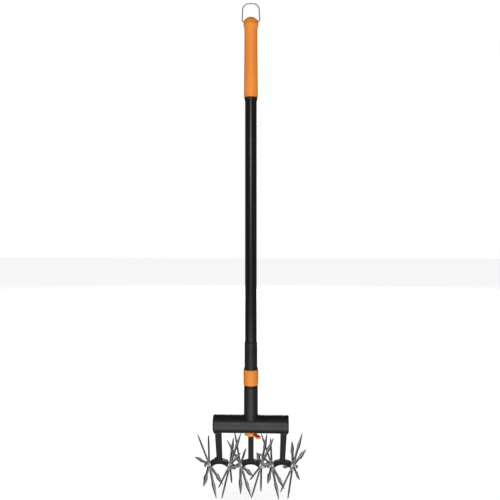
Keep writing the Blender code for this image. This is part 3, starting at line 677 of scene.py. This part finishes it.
def lock_collar():
    """Twist collar: a raised band at the top, soft flutes for the fingers and a stepped lip below."""
    low, high = low_high("lock_collar")
    corners = [
        (15.30, high.z, 0.9),
        (15.30, high.z - 4.6, 0.35),
        (14.95, high.z - 5.0, 0.3),
        (14.95, high.z - 6.0, 0.3),
        (15.20, high.z - 6.4, 0.6),
        (15.10, low.z + 16, 30.0),
        (15.20, low.z + 4.8, 0.6),
        (14.70, low.z + 4.2, 0.3),
        (14.70, low.z, 1.0),
        (SLIDE_BORE, low.z, 0.4),
        (SLIDE_BORE, low.z + 3.0, 0.2),
        (12.50, low.z + 3.0, 0.1),
        (12.50, high.z, 0.3),
    ]
    flute_low, flute_high = low.z + 6.0, high.z - 7.5
    flute_count, flute_depth, flute_runout = 18, 0.16, 2.5

    def flutes(r, turns, z):
        if r <= 14.8 or not flute_low < z < flute_high:
            return np.full(len(turns), r)
        rise = min(z - flute_low, flute_high - z, flute_runout) / flute_runout
        depth = flute_depth * (3 * rise**2 - 2 * rise**3)
        return r - depth * (0.5 + 0.5 * np.cos(turns * flute_count)) ** 2

    profile = rounded(corners, 15)
    dense = []
    for (r0, z0), (r1, z1) in zip(profile, profile[1:] + profile[:1]):
        parts = max(1, int(abs(z1 - z0) / 0.6))
        dense += [(r0 + (r1 - r0) * k / parts, z0 + (z1 - z0) * k / parts) for k in range(parts)]
    stand_in("lock_collar", turned("lock_collar", dense, 216, flutes), ORANGE_COLLAR)


def lock_collet():
    """Split ring inside the collar."""
    low, high = low_high("lock_collet")
    mid, half_height, outer, inner = (low.z + high.z) / 2, 10, 10.6, 9.6
    slit_half, saw_half, saw_top = 1.2, 0.5, high.z - 5

    def shape(x, y, z):
        out = np.hypot(x, y)
        ends = np.abs(z - mid) - half_height
        wall = rounded_overlap(out - outer, np.maximum(inner - out, ends), 0.2)
        slit = np.maximum(np.abs(x) - slit_half, y)
        saw = np.maximum(np.abs(y) - saw_half, z - saw_top)
        return rounded_cut(rounded_cut(wall, slit, 0.15), saw, 0.15)

    mesh = moulded("lock_collet", shape, (-10.7, -10.7, low.z), (10.7, 10.7, high.z), 0.3)
    stand_in("lock_collet", mesh, BLACK)


def arc(centre, radius, start, end, steps):
    """Points along an arc, with both ends. Angles are in degrees from +X."""
    turns = [math.radians(start + (end - start) * i / steps) for i in range(steps + 1)]
    return [(centre[0] + radius * math.cos(t), centre[1] + radius * math.sin(t)) for t in turns]


def hang_loop():
    """Bent wire: pivot ends, upright sides that lean in a little and a squared arch with round corners."""
    high = low_high("hang_loop")[1]
    pivot = JOINTS["loop_swing"]["pos_m"][2] / MM
    wire = 1.15
    half_width = high.x - wire
    top = high.z - wire
    bend, corner, lean = 2.6, 13.0, 0.8
    side = [(8.6, pivot), (10.5, pivot), (12.5, pivot)]
    side += arc((half_width - bend, pivot + bend), bend, -90, 0, 8)
    shoulder = (half_width - lean, top - corner)
    foot = side[-1]
    for i in range(1, 6):
        side.append(tuple(a + (b - a) * i / 6 for a, b in zip(foot, shoulder)))
    side += arc((shoulder[0] - corner, shoulder[1]), corner, 0, 90, 16)
    path = side + [(-x, z) for x, z in reversed(side)]
    ring = 24
    points = []
    count = len(path)
    for i, (x, z) in enumerate(path):
        ahead, behind = path[min(i + 1, count - 1)], path[max(i - 1, 0)]
        along = Vector((ahead[0] - behind[0], 0, ahead[1] - behind[1])).normalized()
        across = along.cross(Vector((0, 1, 0)))
        for k in range(ring):
            t = math.tau * k / ring
            spoke = across * math.cos(t) + Vector((0, 1, 0)) * math.sin(t)
            points.append(Vector((x, 0, z)) + spoke * wire)
    mesh = closed_mesh("hang_loop", points, skin(count, ring))
    mesh.set_sharp_from_angle(angle=math.radians(40))
    stand_in("hang_loop", mesh, WIRE)


# --------------------------------------------------------------------- head


def hub(wheel):
    """Centre of a wheel, in millimetres."""
    return Vector(JOINTS["spin_" + wheel]["pos_m"]) / MM


def post_x(side, height):
    """Where the middle of an outer arm's post is at a height, from the handle's axis."""
    foot = (hub("right_inner").x + hub("right_outer").x) / 2
    return side * (foot + math.tan(POST_LEAN) * (height - POST_FOOT))


def housing():
    """Crossbar and socket in one moulding, with the outer arms' seats and the pockets under the bar."""
    low, high = low_high("crossbar_housing")
    bar_z = middle("crossbar_end_cap_left").z
    half = high.x
    socket_screw_z = middle("socket_screw").z
    hub_spacing = post_x(1, POST_FOOT)
    screw_x = post_x(1, SCREW_HEIGHT)
    seat_inner, seat_end = screw_x - 7.3, 74.7
    seat_x, seat_half = (seat_inner + seat_end) / 2, (seat_end - seat_inner) / 2
    socket_radius, neck_depth, neck_height = 14.1, 0.9, high.z - 3.1
    pocket_centre, pocket_half = (0, 0, 132.25), (5.65, 7.85, 12.25)

    def shape(x, y, z):
        bar = rod(x, y, z, (-half, 0, bar_z), (half, 0, bar_z), high.y, 2.8)
        out = np.hypot(x, y)
        neck = neck_depth * np.exp(-(((z - neck_height) / 0.75) ** 4))
        socket = rounded_overlap(out - socket_radius + neck, np.maximum(z - high.z, bar_z - z), 0.8)
        made = fillet_union(bar, socket, 2.2)
        wide = np.abs(x)
        seat = block(wide, y, z, (seat_x, 0, low.z + 5), (seat_half, 8.2, 5.0), 0.9)
        made = fillet_union(made, seat, 1.4)
        made = rounded_cut(made, rod(x, y, z, (0, 0, 150), (0, 0, 240), SLIDE_BORE, 0.1), 0.5)
        across, along = leaned(wide, z, POST_LEAN, POST_FOOT)
        across = across - hub_spacing * math.cos(POST_LEAN)
        pocket = block(across, y, along, pocket_centre, pocket_half, 0.4)
        centre_pocket = block(x, y, z, pocket_centre, pocket_half, 0.4)
        made = rounded_cut(made, np.minimum(pocket, centre_pocket), 0.4)
        recess = rod(x, y, z, (0, 0, 110), (0, 0, 131.7), 12.5, 0.2)
        groove = rod(x, y, z, (0, 0, 128.7), (0, 0, 130.7), 13.3, 0.1)
        made = rounded_cut(made, np.minimum(recess, groove), 0.4)
        end = rod(wide, y, z, (half - 3.3, 0, bar_z), (half + 9, 0, bar_z), 13.85, 0.1)
        made = rounded_cut(made, end, 0.35)
        behind = (screw_x, 30, SCREW_HEIGHT)
        way = rod(wide, y, z, (screw_x, 5, SCREW_HEIGHT), behind, SCREW_HOLE, 0.1)
        sunk = rod(wide, y, z, (screw_x, 12.6, SCREW_HEIGHT), behind, 4.0, 0.3)
        back = rod(x, y, z, (0, 8, socket_screw_z), (0, 20, socket_screw_z), SCREW_HOLE, 0.1)
        return rounded_cut(made, np.minimum(np.minimum(way, sunk), back), 0.4)

    mesh = moulded("crossbar_housing", shape, low, high, 0.5)
    stand_in("crossbar_housing", mesh, BLACK)


def end_caps():
    """Plugs in the crossbar's ends: a dished face with a raised rim."""
    for side, name in ((-1, "left"), (1, "right")):
        node = "crossbar_end_cap_" + name
        low, high = low_high(node)
        corners = [
            (0.0, 2.4, 0),
            (4.0, 2.4, 3.0),
            (9.6, 2.4, 0.8),
            (10.4, 3.0, 0.5),
            (13.5, 3.0, 0.7),
            (13.5, 0.0, 0.3),
            (0.0, 0.0, 0),
        ]
        face_out = Matrix.Rotation(side * math.pi / 2, 4, "Y")
        inner = Vector((side * min(abs(low.x), abs(high.x)), 0, (low.z + high.z) / 2))
        place = Matrix.Translation(inner * MM) @ face_out
        stand_in(node, turned(node, rounded(corners, 15), 96), BLACK, place)


def arm(name, wheels):
    """Post, ribbed arch and the axles' two bosses, as one moulding round the arm's own centre."""
    node = name + "_arm"
    low, high = low_high(node)
    shift = Vector(((hub(wheels[0]).x + hub(wheels[1]).x) / 2, 0, 0))
    bosses = [(hub(wheel) - shift, outward(wheel)) for wheel in wheels]
    lean = math.copysign(POST_LEAN, shift.x) if abs(shift.x) > 1 else 0.0
    foot_half, depth_half, arch_depth_half = 5.3, 7.5, 7.2
    head_half, shoulder = (6.3, 126.6) if lean else (foot_half, 127.2)
    beam_foot, tenon_foot, crown_sink, crown_radius = 66, 120, 4.6, 12.1
    top_centre, top_radius = 33.6, 40.0
    low_centre, low_radius = 43.2, 22.5
    arch_half, post_start = 19.0, 76
    channel_centre, channel_half = (8.0, 0, 97.5), (5.2, 4.5, 18.5)
    rib_pitch, pocket_half, web_half, pocket_end = math.radians(8.6), 1.35, 4.7, 14.6
    lower_wall, upper_wall = 1.9, 2.3
    boss_root, boss_face, boss_radius = 9.0, 4.6, 5.2
    pin_depth, pin_radius = 11.6, 2.5
    groove_radius, groove_half = 6.3, 2.1
    screw_x = math.tan(lean) * (SCREW_HEIGHT - POST_FOOT)

    def shape(x, y, z):
        across, along = leaned(x, z, lean, POST_FOOT)
        widening = (head_half - foot_half) / (shoulder - POST_FOOT)
        post_half = foot_half + widening * np.maximum(along - POST_FOOT, 0)
        beam_ends = np.maximum(along - shoulder, beam_foot - along)
        beam = rounded_overlap(np.abs(across) - post_half, beam_ends, 0.8)
        tenon_ends = np.maximum(along - TENON_TOP, tenon_foot - along)
        tenon = rounded_overlap(np.abs(across) - foot_half, tenon_ends, 0.8)
        beam = np.minimum(beam, tenon)
        crown = np.hypot(across, np.abs(y) + crown_sink) - crown_radius
        beam = rounded_overlap(beam, crown - (post_half - foot_half), 0.4)
        from_top = np.hypot(x, z - top_centre)
        from_low = np.hypot(x, z - low_centre)
        band = rounded_overlap(from_top - top_radius, low_radius - from_low, 1.0)
        band = rounded_overlap(band, np.abs(x) - arch_half, 0.8)
        for at, out in bosses:
            beyond = (x - at.x) * out.x + (y - at.y) * out.y + (z - at.z) * out.z
            band = rounded_overlap(band, beyond + boss_face, 0.8)
        outline = fillet_union(beam, band, 1.5)
        faces = np.abs(y) - np.where(z > post_start, depth_half, arch_depth_half)
        made = rounded_overlap(outline, faces, 1.1)
        channel = block(np.abs(across), y, along, channel_centre, channel_half, 1.0)
        made = rounded_cut(made, channel, 0.5)
        turn = np.arctan2(x, z - low_centre)
        in_pitch = np.abs(turn / rib_pitch - np.round(turn / rib_pitch)) * rib_pitch * from_low
        walls = np.maximum(low_radius + lower_wall - from_low, from_top - top_radius + upper_wall)
        pocket = rounded_overlap(in_pitch - pocket_half, walls, 0.4)
        pocket = np.maximum(pocket, np.maximum(web_half - np.abs(y), np.abs(x) - pocket_end))
        made = rounded_cut(made, pocket, 0.35)
        for at, out in bosses:
            boss = rod(x, y, z, at - out * boss_root, at - out * boss_face, boss_radius, 0.8)
            made = fillet_union(made, boss, 0.8)
        for at, out in bosses:
            pin_hole = rod(x, y, z, at - out * pin_depth, at + out * 2.0, pin_radius, 0.1)
            made = rounded_cut(made, pin_hole, 0.3)
        if lean:
            ends = (screw_x, 2.5, SCREW_HEIGHT), (screw_x, 20, SCREW_HEIGHT)
            return rounded_cut(made, rod(x, y, z, *ends, SCREW_HOLE, 0.1), 0.3)
        groove = np.maximum(groove_radius - np.hypot(x, y), np.abs(z - LUG_HEIGHT) - groove_half)
        return rounded_cut(made, groove, 0.3)

    mesh = moulded(node, shape, low - shift, high - shift, 0.35)
    stand_in(node, mesh, BLACK_ARM, Matrix.Translation(shift * MM))


def latch():
    """Bayonet ring under the bar, with two lugs inside and a thumb tab that droops to the front right."""
    low, high = low_high("latch_ring")
    swing, droop = math.radians(-51), math.radians(14)
    radius, bottom, bore_radius = 12.2, 123.6, 9.6
    lip_radius, lip_middle, lip_half = 13.0, 129.7, 0.7
    tab_centre, tab_half = (16.1, 0, 126.25), (4.9, 4.8, 1.85)
    thumb_out, thumb_height, thumb_half = 23.2, 125.1, (4.4, 5.0, 2.2)
    grip_pitch, grip_depth, grip_width, grip_reach = 2.0, 0.28, 0.45, 3.4
    lug_outer, lug_inner, lug_half_turn, lug_half = 10.4, 6.75, math.radians(20), 1.7

    def shape(x, y, z):
        out = np.hypot(x, y)
        body = rounded_overlap(out - radius, np.maximum(z - high.z, bottom - z), 0.7)
        lip = rounded_overlap(out - lip_radius, np.abs(z - lip_middle) - lip_half, 0.3)
        made = np.minimum(body, lip)
        u = x * math.cos(swing) + y * math.sin(swing)
        v = -x * math.sin(swing) + y * math.cos(swing)
        made = fillet_union(made, block(u, v, z, tab_centre, tab_half, 0.8), 1.2)
        du = (u - thumb_out) * math.cos(droop) - (z - thumb_height) * math.sin(droop)
        dw = (u - thumb_out) * math.sin(droop) + (z - thumb_height) * math.cos(droop)
        thumb = block(du, v, dw, (0, 0, 0), thumb_half, 1.2)
        from_grip = np.abs(du / grip_pitch - np.round(du / grip_pitch)) * grip_pitch
        gripped = (np.abs(du) < grip_reach) * (dw > 0)
        thumb = thumb + grip_depth * np.exp(-((from_grip / grip_width) ** 2)) * gripped
        made = fillet_union(made, thumb, 0.8)
        bore = rounded_overlap(out - bore_radius, np.abs(z - 128.0) - 9, 0.1)
        made = rounded_cut(made, bore, 0.4)
        off_middle = (np.abs(np.arctan2(x, np.abs(y))) - lug_half_turn) * out
        lug = np.maximum(np.maximum(out - lug_outer, lug_inner - out), off_middle)
        lug = rounded_overlap(lug, np.abs(z - LUG_HEIGHT) - lug_half, 0.3)
        return fillet_union(made, lug, 0.3)

    mesh = moulded("latch_ring", shape, low, high, 0.3)
    stand_in("latch_ring", mesh, ORANGE_LATCH)


def screws():
    """Pan head screws with a cross recess, driven in from the back."""
    head_height, head_radius, dome_radius, dome_sink = 2.1, 3.4, 4.7, 2.6
    shank_radius, thread_depth, thread_pitch = 1.55, 0.16, 0.9
    cross_half, cross_reach, cross_depth = 0.42, 1.9, 1.3
    for node in ("arm_screw_left", "arm_screw_right", "socket_screw"):
        low, high = low_high(node)
        length = high.y - low.y
        head = length - head_height

        def shape(x, y, z):
            out = np.hypot(x, y)
            ball = np.sqrt(x**2 + y**2 + (z - head + dome_sink) ** 2) - dome_radius
            made = rounded_overlap(rounded_overlap(ball, out - head_radius, 0.4), head - z, 0.15)
            made = rounded_overlap(made, z - length, 0.3)
            thread = thread_depth * np.cos((z / thread_pitch - np.arctan2(y, x) / math.tau) * math.tau)
            point = np.maximum(1.0 - z, 0) * 0.8
            shank = out - shank_radius - thread + point
            shank = rounded_overlap(shank, np.maximum(-z, z - head - 0.3), 0.1)
            made = fillet_union(made, shank, 0.15)
            arms = np.minimum(np.abs(x), np.abs(y)) - cross_half
            cross = np.maximum(np.maximum(arms, out - cross_reach), length - cross_depth - z)
            return rounded_cut(made, cross, 0.1)

        mesh = moulded(node, shape, (-3.5, -3.5, 0), (3.5, 3.5, length), 0.14)
        where = Vector((middle(node).x, low.y, middle(node).z))
        place = Matrix.Translation(where * MM) @ Matrix.Rotation(-math.pi / 2, 4, "X")
        stand_in(node, mesh, BRIGHT, place)


# ------------------------------------------------------------------- wheels


def outward(wheel):
    """Direction of a wheel's axle, from its arch out to its cap."""
    axis = Vector(JOINTS["spin_" + wheel]["axis"]).normalized()
    towards_cap = middle("axle_cap_" + wheel) - hub(wheel)
    return axis if axis.dot(towards_cap) > 0 else -axis


def wheel_frame(wheel):
    """Place of a wheel: Z outward along the axle and X along one of its tines."""
    axis = outward(wheel)
    centre = hub(wheel)
    corners = [v.co / MM - centre for v in frame["nodes"]["star_wheel_" + wheel].data.vertices]
    farthest = max(corners, key=lambda p: p.length)
    near_tip = 4.0
    tip = sum((p for p in corners if (p - farthest).length < near_tip), Vector())
    along = (tip - axis * tip.dot(axis)).normalized()
    basis = Matrix((along, axis.cross(along), axis)).transposed().to_4x4()
    return Matrix.Translation(centre * MM) @ basis


def tine_section(reach):
    """Half width, half thickness on the ridge and half thickness at the edge of a tine, at a radius."""
    ridge, stem_edge, leaf_edge = 1.9, 1.3, 0.75
    if reach < LEAF_START:
        return STEM_HALF, ridge, stem_edge
    if reach < LEAF_WIDEST:
        t = (reach - LEAF_START) / (LEAF_WIDEST - LEAF_START)
        swell = 3 * t**2 - 2 * t**3
        half = STEM_HALF + (LEAF_HALF - STEM_HALF) * swell
        return half, ridge, stem_edge + (leaf_edge - stem_edge) * swell
    t = (reach - LEAF_WIDEST) / (TINE_REACH - LEAF_WIDEST)
    half = LEAF_HALF + (TIP_HALF - LEAF_HALF) * (0.12 * t + 0.88 * t**1.25)
    return half, ridge - 1.0 * t**3, leaf_edge - 0.15 * t


def tine(turn):
    """One closed tine: a bevelled stem that widens to a ridged leaf and runs out to a point."""
    root, steps, bevel = 7.2, 36, 0.35
    twist_start, twist_run = 8.5, 8.0
    reaches = [root + (TINE_REACH - root) * i / steps for i in range(steps + 1)]
    points = []
    for reach in reaches:
        half, ridge, edge = tine_section(reach)
        crest, rim = 0.16 * half, 0.6 * edge
        side = [(half, rim), (half - bevel, edge), (crest, ridge)]
        upper = side + [(-across, up) for across, up in reversed(side)]
        outline = [(half, -rim)] + upper + [(across, -up) for across, up in reversed(upper[1:])]
        twist = TINE_TWIST * min(max((reach - twist_start) / twist_run, 0), 1)
        for across, up in outline:
            beside = across * math.cos(twist) - up * math.sin(twist)
            above = across * math.sin(twist) + up * math.cos(twist)
            x = reach * math.cos(turn) - beside * math.sin(turn)
            y = reach * math.sin(turn) + beside * math.cos(turn)
            points.append((x, y, above))
    return points, skin(len(reaches), len(outline))


def star_mesh():
    """Hub plate with a raised ring and sleeve, joined to its seven tines."""
    corners = [
        (10.5, 1.4, 0.35),
        (10.5, -1.4, 0.35),
        (7.6, -1.4, 0.3),
        (7.0, -1.05, 0.3),
        (5.4, -1.05, 0.2),
        (5.1, -1.35, 0.1),
        (AXLE_HOLE, -1.35, 0.1),
        (AXLE_HOLE, 5.00, 0.2),
        (4.8, 5.00, 0.35),
        (4.8, 1.6, 0.5),
        (6.4, 1.05, 0.3),
        (7.2, 1.05, 0.3),
        (7.8, 1.4, 0.3),
    ]
    plate = turned("hub_plate", rounded(corners, 15), 84)
    points, faces = [], []
    for i in range(TINE_COUNT):
        more_points, more_faces = tine(math.tau * i / TINE_COUNT)
        faces += [tuple(k + len(points) for k in face) for face in more_faces]
        points += more_points
    tines = closed_mesh("tines", points, faces)
    bm = bmesh.new()
    bm.from_mesh(tines)
    bmesh.ops.recalc_face_normals(bm, faces=bm.faces)
    bm.to_mesh(tines)
    bm.free()
    hub_obj = bpy.data.objects.new("hub", plate)
    tine_obj = bpy.data.objects.new("tines", tines)
    for obj in (hub_obj, tine_obj):
        bpy.context.scene.collection.objects.link(obj)
    union = hub_obj.modifiers.new("union", "BOOLEAN")
    union.operation = "UNION"
    union.object = tine_obj
    graph = bpy.context.evaluated_depsgraph_get()
    made = bpy.data.meshes.new_from_object(hub_obj.evaluated_get(graph))
    made.name = "star_wheel"
    for obj in (hub_obj, tine_obj):
        bpy.data.objects.remove(obj)
    made.materials.clear()
    made.shade_smooth()
    made.set_sharp_from_angle(angle=math.radians(7))
    return made


def wheels():
    """The six stars, all from one mesh."""
    star = star_mesh()
    for wheel in WHEELS:
        stand_in("star_wheel_" + wheel, star, ZINC, wheel_frame(wheel))


def axle_sets():
    """Pin, spacer, washer and push-on cap of each wheel, in that wheel's frame."""
    pin = [
        (0, 9.5, 0),
        (2.3, 9.5, 0.5),
        (2.3, 6.2, 0.1),
        (2.1, 6.0, 0.1),
        (2.1, 5.7, 0.1),
        (2.3, 5.5, 0.1),
        (2.3, -11.0, 0.6),
        (0, -11.0, 0),
    ]
    cap = [
        (0, 10.25, 0),
        (1.2, 10.25, 0.6),
        (1.7, 10.5, 0.4),
        (2.6, 10.4, 0.6),
        (3.4, 9.6, 0.6),
        (3.5, 8.2, 0.1),
        (3.3, 8.0, 0.1),
        (3.3, 7.4, 0.1),
        (3.5, 7.2, 0.1),
        (3.5, 6.6, 0.2),
        (AXLE_HOLE, 6.6, 0.1),
        (AXLE_HOLE, 9.8, 0.2),
        (0, 9.8, 0),
    ]
    shared = {
        "axle_": (turned("axle", rounded(pin, 22), 32), BRIGHT),
        "spacer_": (turned("spacer", ring_profile(3.8, AXLE_HOLE, -4.3, -1.7, 0.3), 48), SPACER),
        "washer_": (turned("washer", ring_profile(4.7, AXLE_HOLE, 5.3, 6.3, 0.2), 48), BRIGHT),
        "axle_cap_": (turned("axle_cap", rounded(cap, 20), 48), BLACK),
    }
    for wheel in WHEELS:
        for prefix, (mesh, paint) in shared.items():
            stand_in(prefix + wheel, mesh, paint, wheel_frame(wheel))


# ------------------------------------------------------------------- studio

FLOOR_GLOW = 0.47
SIDE_GLOW = 0.15
ROOM_GLOW = 0.03
SOFT_GLOW = 0.50
LIGHTS = (
    # name, place, aim, width, height, watts
    ("key", (0, -5, 1.55), (0, 0, 0.6), 1.5, 0.9, 95),
    ("low", (0, -5, -0.15), (0, 0, 0.4), 1.5, 1.3, 14),
    ("bounce", (0, -0.85, -0.5), (0, 0, 0.12), 1.6, 0.9, 13),
    ("back", (0, 5, 1.3), (0, 0, 0.5), 1.2, 0.8, 45),
)
CAMERA_TURN = math.radians(2.3)
CAMERA_DISTANCE = 1.30
CAMERA_HEIGHT = 0.536


def floor_paint():
    """White paper that glows a little, to stay white round a faint shadow."""
    paint = Paint("studio_floor")
    speck = paint.noise(30, 2)
    paint.set(colour=paint.tint(speck, (0.93, 0.93, 0.93), (0.96, 0.96, 0.96)), rough=0.9)
    paint.shader.inputs["Emission Color"].default_value = (1, 1, 1, 1)
    paint.shader.inputs["Emission Strength"].default_value = FLOOR_GLOW
    return paint.material


def floor():
    mesh = bpy.data.meshes.new("floor")
    reach, drop = 12.0, 0.0002
    corners = [(-reach, -reach, 0), (reach, -reach, 0), (reach, reach, 0), (-reach, reach, 0)]
    mesh.from_pydata(corners, [], [(0, 1, 2, 3)])
    mesh.materials.append(floor_paint())
    obj = bpy.data.objects.new("floor", mesh)
    bpy.context.scene.collection.objects.link(obj)
    obj.location.z = cad_box[0].z - drop
    obj.visible_diffuse = False
    obj.visible_glossy = False
    obj.visible_shadow = False


def panel(name, at, towards, width, height, watts):
    """A soft rectangular light."""
    light = bpy.data.lights.new(name, "AREA")
    light.shape = "RECTANGLE"
    light.size = width
    light.size_y = height
    light.energy = watts
    obj = bpy.data.objects.new(name, light)
    bpy.context.scene.collection.objects.link(obj)
    obj.location = at
    aim = Vector(towards) - Vector(at)
    obj.rotation_euler = aim.to_track_quat("-Z", "Y").to_euler()


def world():
    """White to the camera, even white as light, and in reflections a dark room with pale sides."""
    made = bpy.data.worlds.new("studio")
    bpy.context.scene.world = made
    made.use_nodes = True
    tree = made.node_tree
    tree.nodes.clear()

    def node(kind, *values):
        new = tree.nodes.new("ShaderNode" + kind)
        for socket, value in zip(new.inputs, values):
            if isinstance(value, bpy.types.NodeSocket):
                tree.links.new(value, socket)
            elif value is not None:
                socket.default_value = value
        return new

    place = node("TexCoord").outputs["Generated"]
    split = node("SeparateXYZ", place)
    across = node("Math", split.outputs[0])
    across.operation = "ABSOLUTE"
    sides = node("MapRange", across.outputs[0], 0.35, 0.95, 0.0, SIDE_GLOW).outputs[0]
    tilt = node("MapRange", split.outputs[2], -0.9, 0.9, 0.35, 1.6).outputs[0]
    glow = node("Math", sides, tilt)
    glow.operation = "MULTIPLY"
    room = node("Math", glow.outputs[0], ROOM_GLOW)
    room.operation = "ADD"
    white = (1, 1, 1, 1)
    path = tree.nodes.new("ShaderNodeLightPath")
    seen = node("Background", white, 1.0)
    soft = node("Background", white, SOFT_GLOW)
    mirrored = node("Background", white, room.outputs[0])
    lit = node("MixShader", path.outputs["Is Glossy Ray"], soft.outputs[0], mirrored.outputs[0])
    mix = node("MixShader", path.outputs["Is Camera Ray"], lit.outputs[0], seen.outputs[0])
    out = tree.nodes.new("ShaderNodeOutputWorld")
    tree.links.new(mix.outputs[0], out.inputs["Surface"])


def camera():
    """Level camera, a little right of straight on."""
    data = bpy.data.cameras.new("camera")
    data.lens = 45.9
    data.sensor_width = 36.0
    data.shift_x = -0.0018
    data.shift_y = -0.0346
    data.clip_start, data.clip_end = 0.05, 60
    obj = bpy.data.objects.new("camera", data)
    bpy.context.scene.collection.objects.link(obj)
    beside, before = math.sin(CAMERA_TURN) * CAMERA_DISTANCE, math.cos(CAMERA_TURN) * CAMERA_DISTANCE
    obj.location = (beside, -before, CAMERA_HEIGHT)
    obj.rotation_euler = (math.pi / 2, 0, CAMERA_TURN)
    bpy.context.scene.camera = obj


def studio():
    """Backdrop, floor, lights and camera."""
    world()
    floor()
    for light in LIGHTS:
        panel(*light)
    camera()
    bpy.context.scene.view_settings.view_transform = "Standard"


housing()
end_caps()
for arm_name, arm_wheels in ARMS.items():
    arm(arm_name, arm_wheels)
latch()
screws()
wheels()
axle_sets()
lower_tube()
tube_guide()
lock_sleeve()
lock_collar()
lock_collet()
upper_tube()
ferrule()
grip()
end_cap()
hang_loop()
studio()
